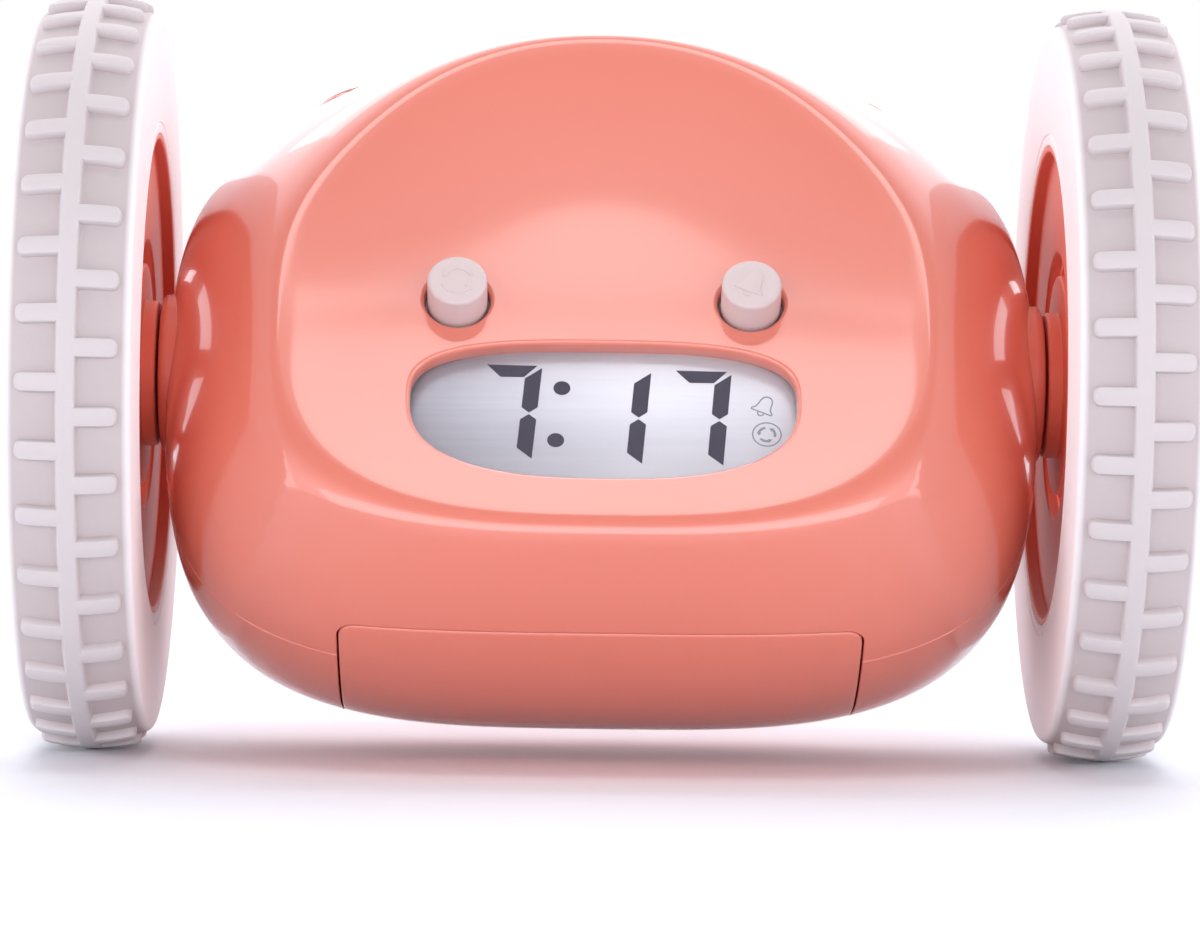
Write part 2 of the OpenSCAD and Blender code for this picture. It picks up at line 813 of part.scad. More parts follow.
function gear_points(teeth) = let (
  r = gear_m * teeth / 2,
  rb = r * cos(gear_pa),
  tip = r + gear_add * gear_m,
  root = r - gear_ded * gear_m,
  half = 90 / teeth - gear_backlash / 2 / r * 180 / PI + involute_turn(rb, r),
  start = max(rb, root),
  radii = [for (k = [0 : 3]) start + (tip - start) * k / 3]
) [for (tooth = [0 : teeth - 1]) let (mid = 360 * tooth / teeth) each concat(
  root < rb ? [polar(root, mid - half)] : [],
  [for (k = [0 : 3]) polar(radii[k], mid - half + involute_turn(rb, radii[k]))],
  [for (k = [3 : -1 : 0]) polar(radii[k], mid + half - involute_turn(rb, radii[k]))],
  root < rb ? [polar(root, mid + half)] : [])];

// A gear on the axis (v, n); aim is the direction, from +v towards +n, that one tooth points in
module x_gear(teeth, x0, w, v, n, aim) translate([x0, v, n]) rotate([0, 90, 0])
  rotate([0, 0, 90 + aim]) linear_extrude(w) polygon(gear_points(teeth));

module motor_pinion(side) body_frame() color(brass) on_side(side) difference() {
  x_gear(pinion_teeth, gear_in - 0.3, gear_w + 0.6, motor_v, motor_n,
    motor_dir + 180 + 180 / pinion_teeth);
  x_rod(motor_shaft_d / 2, gear_in - 2, gear_in + gear_w + 2, motor_v, motor_n);
}

module idler_gear(side) body_frame() color(moulded) on_side(side) difference() {
  union() {
    x_gear(idler_teeth, gear_in, gear_w, idler_v, idler_n, motor_dir);
    x_gear(idler_small_teeth, small_in - eps, gear_w + 1.1, idler_v, idler_n,
      idler_dir + 180 + 180 / idler_small_teeth);
  }
  x_rod(pin_d / 2 + run, gear_in - 1, cover_in, idler_v, idler_n);
}

module output_gear(side) body_frame() color(moulded) on_side(side) difference() {
  x_gear(output_teeth, out_in, gear_w, 0, 0, idler_dir);
  x_rod(shaft_r, out_in - 1, out_in + gear_w + 1);
}

module idler_pin(side) body_frame() color(steel) on_side(side)
  x_rod(pin_d / 2, case_in, cover_in + case_t, idler_v, idler_n);

// ---------------------------------------------------------------- gear case

module case_outline(r, x0, x1) {
  x_rod(r, x0, x1);
  x_rod(r, x0, x1, idler_v, idler_n);
  x_rod(pinion_tip + r - gear_tip + 1, x0, x1, motor_v, motor_n);
}

// The case is open at the front, where the board passes close to the output gear
module case_form(x0, x1) intersection() {
  union() case_outline(case_r + case_wall, x0, x1);
  translate([0, -far / 2, case_flat - far]) cube(far);
}

module gear_case(side) body_frame() color(moulded) on_side(side) difference() {
  union() {
    case_form(case_in, case_in + case_t);
    difference() {
      case_form(case_in, cover_in);
      case_outline(case_r, case_in - 1, cover_in + 1);
    }
    x_tube(motor_d / 2 + case_wall, motor_d / 2 + fit, case_in - 6, case_in + eps, motor_v, motor_n);
  }
  x_rod(3.1, case_in - 1, case_in + case_t + 1, motor_v, motor_n);
  x_rod(pin_d / 2, case_in - 1, case_in + case_t + 1, idler_v, idler_n);
}

module gear_cover(side) body_frame() color(moulded) on_side(side) difference() {
  union() {
    case_form(cover_in, cover_in + case_t);
    x_rod(shaft_r + 2, cover_in, cover_in + case_t + 2);
  }
  x_rod(shaft_r + run, cover_in - 1, cover_in + case_t + 3);
  x_rod(pin_d / 2, cover_in - 1, cover_in + case_t + 1, idler_v, idler_n);
}

// ---------------------------------------------------------------- motor

module motor_can(side) body_frame() color(steel) on_side(side) difference() {
  x_rod(motor_d / 2, motor_in + cap_l, case_in, motor_v, motor_n);
  x_rod(motor_d / 2 - can_t, motor_in, case_in - 1, motor_v, motor_n);
  x_rod(motor_shaft_d / 2 + run, case_in - 3, case_in + 1, motor_v, motor_n);
}

module motor_cap(side) body_frame() color(dark) on_side(side) difference() {
  union() {
    x_rod(motor_d / 2, motor_in, motor_in + cap_l, motor_v, motor_n);
    for (s = [-1, 1]) translate([motor_in - 1.6, motor_v + s * 4 - 0.3, motor_n - 1]) cube([1.7, 0.6, 2]);
  }
  x_rod(motor_shaft_d / 2 + run, motor_in + 0.8, motor_in + cap_l + 1, motor_v, motor_n);
}

// A shaft with a commutator and a core of three poles
module motor_rotor(side) body_frame() color(steel) on_side(side) {
  core_in = motor_in + cap_l + rotor_back;
  core_out = case_in - rotor_front;
  x_rod(motor_shaft_d / 2, motor_in + 1, gear_in + gear_w + 0.3, motor_v, motor_n);
  x_rod(commutator_r, motor_in + cap_l + commutator_back, core_in + eps, motor_v, motor_n);
  difference() {
    x_rod(motor_d / 2 - can_t - rotor_gap, core_in, core_out, motor_v, motor_n);
    for (k = [0 : rotor_poles - 1]) translate([core_in - 1, motor_v, motor_n])
      rotate([360 * k / rotor_poles, 0, 0]) translate([0, rotor_core_r, -rotor_slot / 2])
        cube([core_out - core_in + 2, motor_d, rotor_slot]);
  }
}

// ---------------------------------------------------------------- wheel shaft and bushing

module bushing(side) body_frame() color(brass) on_side(side) difference() {
  union() {
    x_rod(bush_r, bush_in, collar_end);
    x_rod(bush_flange_r, bush_in, bush_in + bush_flange_t);
  }
  x_rod(shaft_r + run, bush_in - 1, collar_end + 1);
}

module wheel_shaft(side) body_frame() color(steel) on_side(side) x_rod(shaft_r, out_in, hub_end);

// ---------------------------------------------------------------- wheels

function crown_r(x) = base_r - crown * x * x;

module wheel_frame() translate([0, 0, axle_z]) children();

// Half of the tread's section, from the shoulder inwards; x runs across the tyre
tyre_half = tyre_w / 2;
crown_steps = 6;
crown_half = tyre_half - shoulder;
side_r = crown_r(crown_half) - shoulder;

module tyre_section() polygon(concat(
  [[disc_r, tyre_in], [side_r, tyre_in]],
  [for (i = [1 : 3]) let (t = 90 * i / 4)
    [side_r + shoulder * sin(t), tyre_in + shoulder * (1 - cos(t))]],
  [for (i = [-crown_steps : crown_steps]) let (x = crown_half * i / crown_steps)
    [crown_r(x), tyre_mid + x]],
  [for (i = [3 : -1 : 1]) let (t = 90 * i / 4)
    [side_r + shoulder * sin(t), tyre_out - shoulder * (1 - cos(t))]],
  [[side_r, tyre_out], [side_r - 3, tyre_out], [disc_r + 2, tyre_out - 1.5], [disc_r, tyre_out - 1.5]]));

// A row of lugs: blocks round the wheel, trimmed to the crown
module lug_row(sign, shift) {
  lug_out = tyre_half - lug_end;
  lug_root = rib_w / 2 - 0.2;
  intersection() {
    rotate([0, 90, 0]) rotate_extrude($fn = 120) polygon(concat(
      [for (i = [0 : 3]) let (x = sign * (lug_root + (lug_out - lug_root) * i / 3))
        [crown_r(x) - 0.6, tyre_mid + x]],
      [[crown_r(lug_out) + lug_h * 0.35, tyre_mid + sign * lug_out]],
      [for (i = [2 : -1 : 0]) let (x = sign * (lug_root + (lug_out - 0.5 - lug_root) * i / 2))
        [crown_r(x) + lug_h, tyre_mid + x]]));
    for (k = [0 : lug_count - 1]) rotate([360 * (k + shift) / lug_count, 0, 0])
      translate([tyre_in, -lug_w / 2, crown_r(lug_out) - 2]) cube([tyre_w, lug_w, 8]);
  }
}

module tyre(side) wheel_frame() color(off_white) on_side(side) {
  turned_section();
  rotate([0, 90, 0]) rotate_extrude($fn = 120) translate([base_r - 1, tyre_mid - rib_w / 2])
    square([lug_h + 1, rib_w]);
  lug_row(1, side < 0 ? lug_shift : lug_shift + 0.5);
  lug_row(-1, side < 0 ? lug_shift + 0.5 : lug_shift);
}

module turned_section() rotate([0, 90, 0]) rotate_extrude($fn = 120) tyre_section();

module wheel_disc(side) wheel_frame() color(coral) on_side(side) difference() {
  union() {
    turned([[0, hub_start], [boss_r - 0.5, hub_start], [boss_r, hub_start + 0.5],
      [boss_r, hub_end], [0, hub_end]]);
    x_rod(hub_flange_r, disc_face, disc_face + hub_flange_t);
    x_tube(disc_r, web_hole_r, disc_face, disc_face + web_t);
    x_tube(disc_r, disc_r - disc_lip, tyre_in + 0.1, disc_face + eps);
    x_tube(disc_r, disc_r - 1.6, disc_face, tyre_out - 1.5);
    disc_spokes();
  }
  x_rod(shaft_r, hub_start - 1, hub_end + 1);
}

disc_face = tyre_in + disc_lip_h;

module disc_spokes() for (k = [0 : disc_ribs - 1]) rotate([360 * (k + 0.5) / disc_ribs, 0, 0])
  translate([disc_face + web_t - eps, boss_r - 1, -rib_t / 2])
    cube([hub_end - disc_face - web_t - 1, disc_r - boss_r - 0.4, rib_t]);

module hub_cap(side) wheel_frame() color(off_white) on_side(side) turned(concat(
  [[0, hub_end]], [[boss_r - cap_edge, hub_end]],
  [for (i = [0 : 5]) let (t = 90 * i / 5)
    [(boss_r - cap_edge) * cos(t * 0.999), hub_end + cap_edge + (cap_t - cap_edge) * sin(t)]],
  [[0, hub_end + cap_t]]));

// ---------------------------------------------------------------- assembly

front_casing();
rear_casing();
battery_door();
lcd_cover();
lcd_panel();
lcd_frame();
lcd_backlight();
lcd_connector();
main_board();
front_switches();
alarm_button();
run_button();
snooze_bar();
snooze_board();
hour_button();
minute_button();
time_button();
set_button();
rear_board();
rear_switches();
buzzer();
battery_tray();
battery_cells();
battery_contacts();
casing_screws();
board_screws();
gear_case(-1);  // left_gear_case
gear_case(1);  // right_gear_case
gear_cover(-1);  // left_gear_cover
gear_cover(1);  // right_gear_cover
motor_can(-1);  // left_motor_can
motor_can(1);  // right_motor_can
motor_cap(-1);  // left_motor_cap
motor_cap(1);  // right_motor_cap
motor_rotor(-1);  // left_motor_rotor
motor_rotor(1);  // right_motor_rotor
motor_pinion(-1);  // left_motor_pinion
motor_pinion(1);  // right_motor_pinion
idler_gear(-1);  // left_idler_gear
idler_gear(1);  // right_idler_gear
idler_pin(-1);  // left_idler_pin
idler_pin(1);  // right_idler_pin
output_gear(-1);  // left_output_gear
output_gear(1);  // right_output_gear
wheel_shaft(-1);  // left_wheel_shaft
wheel_shaft(1);  // right_wheel_shaft
bushing(-1);  // left_bushing
bushing(1);  // right_bushing
wheel_disc(-1);  // left_wheel_disc
wheel_disc(1);  // right_wheel_disc
tyre(-1);  // left_tyre
tyre(1);  // right_tyre
hub_cap(-1);  // left_hub_cap
hub_cap(1);  // right_hub_cap
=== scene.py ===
import json
import math

import bmesh
import bpy
from mathutils import Matrix, Vector
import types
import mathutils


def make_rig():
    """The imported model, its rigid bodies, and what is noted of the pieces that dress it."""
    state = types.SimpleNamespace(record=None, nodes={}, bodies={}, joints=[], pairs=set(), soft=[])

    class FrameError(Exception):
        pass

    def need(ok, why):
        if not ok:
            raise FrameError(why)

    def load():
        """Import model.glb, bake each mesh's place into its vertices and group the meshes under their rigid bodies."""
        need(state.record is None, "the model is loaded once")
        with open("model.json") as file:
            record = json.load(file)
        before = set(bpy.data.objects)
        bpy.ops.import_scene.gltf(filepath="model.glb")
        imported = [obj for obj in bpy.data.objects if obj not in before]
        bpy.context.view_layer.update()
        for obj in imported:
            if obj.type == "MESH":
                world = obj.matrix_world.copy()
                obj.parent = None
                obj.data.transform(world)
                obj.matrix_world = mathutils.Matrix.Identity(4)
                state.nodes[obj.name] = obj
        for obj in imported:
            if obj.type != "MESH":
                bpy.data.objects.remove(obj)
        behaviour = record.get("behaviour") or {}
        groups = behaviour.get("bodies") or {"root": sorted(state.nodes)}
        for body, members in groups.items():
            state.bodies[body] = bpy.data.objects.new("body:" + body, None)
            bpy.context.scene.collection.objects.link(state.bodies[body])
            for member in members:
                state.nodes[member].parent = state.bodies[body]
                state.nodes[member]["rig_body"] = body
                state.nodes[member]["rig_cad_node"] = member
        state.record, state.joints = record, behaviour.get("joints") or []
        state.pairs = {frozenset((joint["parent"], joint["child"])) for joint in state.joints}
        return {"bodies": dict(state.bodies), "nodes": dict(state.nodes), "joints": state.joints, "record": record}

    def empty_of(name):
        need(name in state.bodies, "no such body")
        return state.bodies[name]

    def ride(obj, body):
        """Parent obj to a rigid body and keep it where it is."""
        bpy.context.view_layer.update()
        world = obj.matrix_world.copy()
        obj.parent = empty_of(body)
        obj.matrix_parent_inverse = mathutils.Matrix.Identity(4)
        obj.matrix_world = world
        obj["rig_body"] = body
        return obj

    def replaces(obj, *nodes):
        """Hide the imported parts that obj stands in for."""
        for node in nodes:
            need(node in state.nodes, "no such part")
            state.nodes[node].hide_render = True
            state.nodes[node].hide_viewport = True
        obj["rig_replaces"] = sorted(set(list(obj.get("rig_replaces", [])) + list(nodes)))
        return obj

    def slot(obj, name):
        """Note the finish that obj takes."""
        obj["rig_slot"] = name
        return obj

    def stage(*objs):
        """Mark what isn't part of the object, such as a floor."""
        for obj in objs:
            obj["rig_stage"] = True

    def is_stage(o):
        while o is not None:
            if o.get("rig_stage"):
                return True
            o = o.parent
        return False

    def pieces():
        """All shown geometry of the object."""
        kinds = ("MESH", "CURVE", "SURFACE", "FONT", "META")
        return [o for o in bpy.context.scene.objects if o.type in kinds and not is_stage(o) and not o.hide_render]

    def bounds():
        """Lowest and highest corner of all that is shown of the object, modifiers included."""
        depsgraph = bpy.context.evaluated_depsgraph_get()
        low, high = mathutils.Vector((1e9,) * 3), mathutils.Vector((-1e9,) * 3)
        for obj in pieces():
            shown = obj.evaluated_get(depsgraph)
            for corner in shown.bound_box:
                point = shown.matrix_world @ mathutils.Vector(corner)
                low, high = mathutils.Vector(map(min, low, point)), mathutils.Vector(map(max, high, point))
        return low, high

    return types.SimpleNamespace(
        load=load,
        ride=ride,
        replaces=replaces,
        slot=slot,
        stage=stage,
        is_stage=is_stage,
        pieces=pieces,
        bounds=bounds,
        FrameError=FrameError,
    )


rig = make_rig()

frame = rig.load()
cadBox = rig.bounds()
nodes = frame["nodes"]
print("frame loaded:", len(nodes), "pieces")

# The camera
camera = {"lens": 152.9, "distance": 0.605, "drop": 0.011, "pitch": 1.5, "yaw": 0.67, "roll": 0.80}
axle = Vector((0, 0, 0.0445))
turn = (Matrix.Rotation(math.radians(camera["pitch"]), 3, "X")
        @ Matrix.Rotation(math.radians(camera["yaw"]), 3, "Z"))
cameraData = bpy.data.cameras.new("camera")
cameraData.lens = camera["lens"]
cameraData.sensor_width = 36
cameraData.clip_start = 0.01
cameraObject = bpy.data.objects.new("camera", cameraData)
bpy.context.scene.collection.objects.link(cameraObject)
cameraSpot = axle + turn.inverted() @ Vector((0, -camera["distance"], -camera["drop"]))
cameraObject.matrix_world = (Matrix.Translation(cameraSpot) @ turn.inverted().to_4x4()
    @ Matrix.Rotation(math.radians(90), 4, "X") @ Matrix.Rotation(math.radians(camera["roll"]), 4, "Z"))
bpy.context.scene.camera = cameraObject
bpy.context.scene.view_settings.view_transform = "Standard"
print("camera set")

# The body's form, in millimetres
# Its own frame has x along the axle, v up the face and n out of the face.
body = {"radius": 41.5, "halfLength": 51.2, "power": 3.45, "lean": 53.5, "axleHeight": 44.5, "wall": 2.2,
        "faceDistance": 20.8, "faceHalf": 39.0, "facePowerUp": 2.15, "facePowerDown": 2.9, "faceDrop": 5.0,
        "faceRise": 0.9, "endPower": 2.8, "risePower": 0.8, "rim": 2.0, "dish": 1.5, "dishPower": 3,
        "shoulder": 0.07}
millimetre = 0.001
bodyPlace = (Matrix.Translation((0, 0, body["axleHeight"] * millimetre))
    @ Matrix.Rotation(math.radians(body["lean"]), 4, "X") @ Matrix.Scale(millimetre, 4))
wheelPlace = Matrix.Translation((0, 0, body["axleHeight"] * millimetre)) @ Matrix.Scale(millimetre, 4)


def smoothStep(low, high, value):
    t = min(1.0, max(0.0, (value - low) / (high - low)))
    return t * t * (3 - 2 * t)


def endScale(v, n):  # the ends draw in towards the top of the face
    return 1 - body["shoulder"] * smoothStep(4, 30, v) * smoothStep(0, 14, n)


def signedPower(c, power):
    return math.copysign(abs(c) ** (2 / power), c)


def ringShape(n, inset):
    s = max(0.0, n) / body["faceDistance"]
    half = math.sqrt(max(0.0, body["radius"] ** 2 - n * n)) - inset
    length = body["halfLength"] - (body["halfLength"] - body["faceHalf"]) * s ** body["endPower"] - inset
    middle = -body["faceDrop"] * s ** 3
    up = body["power"] + (body["facePowerUp"] - body["power"]) * s ** body["risePower"]
    down = body["power"] + (body["facePowerDown"] - body["power"]) * s ** 1.5
    return length, middle, half - middle + body["faceRise"] * s * s, half + middle, up, down


def ringPoint(n, inset, t):
    length, middle, above, below, up, down = ringShape(n, inset)
    power, reach = (up, above) if math.sin(t) >= 0 else (down, below)
    return length * signedPower(math.cos(t), power), middle + reach * signedPower(math.sin(t), power)


def faceLevel(x, v):  # 1 on the rim of the face, 0 at its middle
    length, middle, above, below, up, down = ringShape(body["faceDistance"], body["rim"])
    low, high = 1e-4, 1.6
    for step in range(26):
        q = (low + high) / 2
        dv = v / q - middle
        power, reach = (up, above) if dv >= 0 else (down, below)
        if abs(x / q / length) ** power + abs(dv / reach) ** power > 1:
            low = q
        else:
            high = q
    return (low + high) / 2


def faceHeight(directions, x, v):
    q = min(1.0, faceLevel(x / endScale(v, body["faceDistance"]), v))
    return body["faceDistance"] - body["dish"] * (1 - q ** body["dishPower"])


def insideForm(x, v, n):
    x = x / endScale(v, n)
    if n <= 0:
        return ((abs(x) / body["halfLength"]) ** body["power"]
                + (math.hypot(v, n) / body["radius"]) ** body["power"]) <= 1
    if n > body["faceDistance"]:
        return False
    side = body["faceDistance"] - body["rim"]
    inset = 0.0
    if n > side:
        inset = body["rim"] * (1 - math.cos(math.asin((n - side) / body["rim"])))
    length, middle, above, below, up, down = ringShape(n, inset)
    dv = v - middle
    power, reach = (up, above) if dv >= 0 else (down, below)
    return abs(x / length) ** power + abs(dv / reach) ** power <= 1


def tilted(beta):  # sideways, lengthways and outward directions, beta degrees behind the top of the face
    a = math.radians(beta)
    return Vector((1, 0, 0)), Vector((0, math.sin(a), math.cos(a))), Vector((0, math.cos(a), -math.sin(a)))


def formHeight(directions, s, t):  # how far out the form's skin lies
    low, high = 12.0, 52.0
    across = directions[0] * s + directions[1] * t
    for step in range(24):
        w = (low + high) / 2
        p = across + directions[2] * w
        if insideForm(p.x, p.y, p.z):
            low = w
        else:
            high = w
    return (low + high) / 2


def skinPoint(directions, s, t, lift=0.0, height=formHeight):
    return directions[0] * s + directions[1] * t + directions[2] * (height(directions, s, t) + lift)


# Small helpers for meshes
def vertsIn(geom):
    return [g for g in geom if isinstance(g, bmesh.types.BMVert)]


def bevelEdges(bm, edges, offset, segments=2):
    bmesh.ops.bevel(bm, geom=edges, offset=offset, offset_type="OFFSET", affect="EDGES", segments=segments,
                    profile=0.5, material=-1)


def cutThrough(bm, spot, normal):  # new edges along a plane
    bmesh.ops.bisect_plane(bm, geom=bm.verts[:] + bm.edges[:] + bm.faces[:], dist=1e-5, plane_co=spot,
                           plane_no=normal)


def turnNew(bm, before, degrees):  # turns about the axle what was added after the vertices in before
    bmesh.ops.rotate(bm, cent=(0, 0, 0), verts=[v for v in bm.verts if v not in before],
                     matrix=Matrix.Rotation(math.radians(degrees), 3, "X"))


def turnedFlat(points, degrees, scale=1.0, centre=(0, 0)):
    a = math.radians(degrees)
    return [(centre[0] + scale * (x * math.cos(a) - y * math.sin(a)),
             centre[1] + scale * (x * math.sin(a) + y * math.cos(a))) for x, y in points]


def finishMesh(bm, name, place, smoothAngle=30.0):
    bmesh.ops.remove_doubles(bm, verts=bm.verts, dist=0.0005)
    bmesh.ops.recalc_face_normals(bm, faces=bm.faces)
    mesh = bpy.data.meshes.new(name)
    bm.to_mesh(mesh)
    bm.free()
    piece = bpy.data.objects.new(name, mesh)
    bpy.context.scene.collection.objects.link(piece)
    piece["place"] = place
    piece["smoothAngle"] = smoothAngle
    return piece


def bakeModifiers(piece):
    bpy.context.view_layer.update()
    baked = bpy.data.meshes.new_from_object(piece.evaluated_get(bpy.context.evaluated_depsgraph_get()))
    piece.modifiers.clear()
    piece.data = baked


def cutAway(piece, cutters):
    for cutter in cutters:
        modifier = piece.modifiers.new("cut", "BOOLEAN")
        modifier.operation = "DIFFERENCE"
        modifier.solver = "MANIFOLD"
        modifier.object = cutter
    bakeModifiers(piece)


def settle(piece, material, slot, bodyName, replaced=()):
    places = {"body": bodyPlace, "wheel": wheelPlace}
    piece.data.transform(places[piece["place"]])
    angle = piece["smoothAngle"]
    del piece["place"]
    del piece["smoothAngle"]
    for polygon in piece.data.polygons:
        polygon.use_smooth = True
    piece.data.set_sharp_from_angle(angle=math.radians(angle))
    piece.data.materials.clear()
    piece.data.materials.append(material)
    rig.ride(piece, bodyName)
    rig.slot(piece, slot)
    if replaced:
        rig.replaces(piece, *replaced)
    return piece


def joinRings(bm, rings, closed=True):  # the first ring is drawn, every later one is extruded from it
    loop = bmesh.ops.create_circle(bm, cap_ends=False, radius=1, segments=len(rings[0]))["verts"]
    for vert, point in zip(loop, rings[0]):
        vert.co = point
    edges = bm.edges[:]
    ends = [edges]
    for points in rings[1:]:
        made = bmesh.ops.extrude_edge_only(bm, edges=edges)["geom"]
        fresh = set(vertsIn(made))
        loop = [next(e.other_vert(v) for e in v.link_edges if e.other_vert(v) in fresh) for v in loop]
        for vert, point in zip(loop, points):
            vert.co = point
        edges = [g for g in made if isinstance(g, bmesh.types.BMEdge) and fresh.issuperset(g.verts)]
    ends.append(edges)
    if closed:
        for edges in ends:
            bmesh.ops.edgeloop_fill(bm, edges=edges)


def roundedCorners(points, steps=5, closed=True):  # each point is (a, b, radius)
    path = []
    count = len(points)
    for i, (a, b, radius) in enumerate(points):
        here = Vector((a, b))
        if radius <= 0 or (not closed and i in (0, count - 1)):
            path.append(here)
            continue
        toLast = Vector(points[i - 1][:2]) - here
        toNext = Vector(points[(i + 1) % count][:2]) - here
        corner = toLast.angle(toNext)
        reach = min(radius / math.tan(corner / 2), toLast.length * 0.49, toNext.length * 0.49)
        start = here + toLast.normalized() * reach
        end = here + toNext.normalized() * reach
        for k in range(steps + 1):
            t = k / steps
            path.append(start * (1 - t) ** 2 + here * 2 * t * (1 - t) + end * t * t)
    return path


def spinAround(bm, path, axis, steps, closed=True, centre=(0, 0, 0)):
    verts = [bm.verts.new(point) for point in path]
    edges = [bm.edges.new(pair) for pair in zip(verts, verts[1:])]
    if closed:
        edges.append(bm.edges.new((verts[-1], verts[0])))
    bmesh.ops.spin(bm, geom=verts + edges, cent=centre, axis=axis, dvec=(0, 0, 0), angle=2 * math.pi,
                   steps=steps, use_merge=True, use_duplicate=False)


def roundedBox(bm, size, centre, edge):
    made = bmesh.ops.create_cube(bm, size=1)["verts"]
    bmesh.ops.scale(bm, vec=size, verts=made)
    bmesh.ops.translate(bm, vec=centre, verts=made)
    bevelEdges(bm, list({e for v in made for e in v.link_edges}), edge)


def roundedOutline(width, height, corner, count):  # points round a plate, evenly by angle of the corner arcs
    points = []
    arc = count // 4
    for quarter in range(4):
        sx = 1 if quarter in (0, 3) else -1
        sy = 1 if quarter in (0, 1) else -1
        for k in range(arc):
            a = math.radians(90 * quarter + 90 * k / (arc - 1))
            points.append((sx * (width / 2 - corner) + corner * math.cos(a),
                           sy * (height / 2 - corner) + corner * math.sin(a)))
    return denser(points, 1.6)


def denser(points, spacing):
    path = []
    for (x0, y0), (x1, y1) in zip(points, points[1:] + points[:1]):
        pieces = max(1, int(math.hypot(x1 - x0, y1 - y0) / spacing))
        path += [(x0 + (x1 - x0) * k / pieces, y0 + (y1 - y0) * k / pieces) for k in range(pieces)]
    return path


# The outlines of what is set into the body
window = {"v": -17.0, "width": 44.0, "height": 19.2, "rise": 0.42, "powerUp": 3.0, "powerDown": 2.6}
bar = {"beta": 9.5, "width": 73.0, "height": 26.4, "corner": 7.0, "proud": 1.8, "edge": 0.9, "depth": 2.9}
door = {"beta": 168.0, "frontBeta": 220.0, "front": 20.9, "width": 59.6, "height": 30.2, "corner": 1.8,
        "proud": 0.0, "edge": 0.22, "depth": 1.9}
eyes = {"pitch": 33.8, "v": -3.0, "radius": 3.45, "bottom": 16.45, "sunk": 0.864, "proud": 3.3}
setting = {"beta": 61.0, "pitch": 11.0, "radius": 3.0, "bottom": 37.15, "proud": 1.0}
buzzer = {"beta": 100.0, "hole": 0.85, "pitch": 3.6}
gap = 0.35  # round each piece that moves

faceDirections = (Vector((1, 0, 0)), Vector((0, 1, 0)), Vector((0, 0, 1)))


def windowOutline(extra, count=128):
    points = []
    for k in range(count):
        t = 2 * math.pi * (k + 0.5) / count
        up = math.sin(t) >= 0
        power = window["powerUp"] if up else window["powerDown"]
        reach = window["height"] * (window["rise"] if up else 1 - window["rise"]) + extra
        points.append(((window["width"] / 2 + extra) * signedPower(math.cos(t), power),
                       window["v"] + reach * signedPower(math.sin(t), power)))
    return points


def polar(radius, degrees):
    return radius * math.cos(math.radians(degrees)), radius * math.sin(math.radians(degrees))


def circleOutline(x, y, radius, count=56):
    return [(x + radius * math.cos(2 * math.pi * k / count), y + radius * math.sin(2 * math.pi * k / count))
            for k in range(count)]


doorDirections = tilted(door["beta"])
doorFrontNormal = tilted(door["frontBeta"])[1]
frontEdgeCache = {}


def doorFrontEdge(s):  # where the flatter front cut meets the skin
    key = round(abs(s), 3)
    if key not in frontEdgeCache:
        low, high = -18.0, 0.0
        for step in range(22):
            t = (low + high) / 2
            p = skinPoint(doorDirections, s, t)
            if p.dot(doorFrontNormal) < door["front"]:
                low = t
            else:
                high = t
        frontEdgeCache[key] = (low + high) / 2
    return frontEdgeCache[key]


def doorPlace(s, t):  # from the plain rectangle to the door's true outline
    rear = door["height"] / 2
    return s, rear - (rear - t) * (rear - doorFrontEdge(s)) / door["height"]


def outlineRings(name, directions, outline, profile, height=formHeight, closed=True):
    bm = bmesh.new()
    joinRings(bm, [[skinPoint(directions, s, t, lift, height) for s, t in outline(offset)]
                   for offset, lift in profile], closed)
    return finishMesh(bm, name, "body")


def flaredCut(offset, edge, depth=9.0, top=3.0):  # a straight wall that opens into a rounded edge
    slopes = [math.radians(a) for a in (17, 30, 43, 56, 69, 82)]
    step = edge / sum(math.cos(a) for a in slopes)
    points = [(offset + edge, 0.0)]
    for a in slopes:
        points.append((points[-1][0] - step * math.cos(a), points[-1][1] - step * math.sin(a)))
    return [(offset, -depth)] + points[::-1] + [(offset + edge * 2.2, edge * 0.4), (offset + edge * 2.2, top)]


def plateOutline(plate, offset, count):
    return roundedOutline(plate["width"] + 2 * offset, plate["height"] + 2 * offset,
                          plate["corner"] + offset, count)


def barOutline(offset):
    return plateOutline(bar, offset, 64)


def doorOutline(offset):
    return [doorPlace(s, t) for s, t in plateOutline(door, offset, 40)]


def roundOutline(x, y, radius, count=56):
    return lambda offset: circleOutline(x, y, radius + offset, count)


barDirections = tilted(bar["beta"])
settingDirections = tilted(setting["beta"])
buzzerDirections = tilted(buzzer["beta"])


def formCutters(front):
    cuts = [("barCut", barDirections, barOutline, flaredCut(gap, 0.25, top=10.0)),
            ("doorCut", doorDirections, doorOutline, flaredCut(0.2, 0.22, top=10.0))]
    if front:
        cuts.append(("windowCut", faceDirections, windowOutline, flaredCut(0, 0.5), faceHeight))
        for side in (-1, 1):
            hole = roundOutline(side * eyes["pitch"] / 2, eyes["v"], eyes["radius"])
            cuts.append(("eyeCut", faceDirections, hole, flaredCut(gap, 0.5), faceHeight))
    else:
        for i in range(4):
            hole = roundOutline((i - 1.5) * setting["pitch"], 0, setting["radius"])
            cuts.append(("keyCut", settingDirections, hole, flaredCut(gap, 0.3)))
        holes = [(0, 0)] + [polar(ring * buzzer["pitch"], 60 * k / ring)
                            for ring in (1, 2) for k in range(6 * ring)]
        for x, y in holes:
            hole = roundOutline(x, y, buzzer["hole"], 20)
            cuts.append(("grilleCut", buzzerDirections, hole, flaredCut(0, 0.15)))
    return [outlineRings(*cut) for cut in cuts]


# The casings
seamEdge = {"inset": 0.14, "set": 0.03}


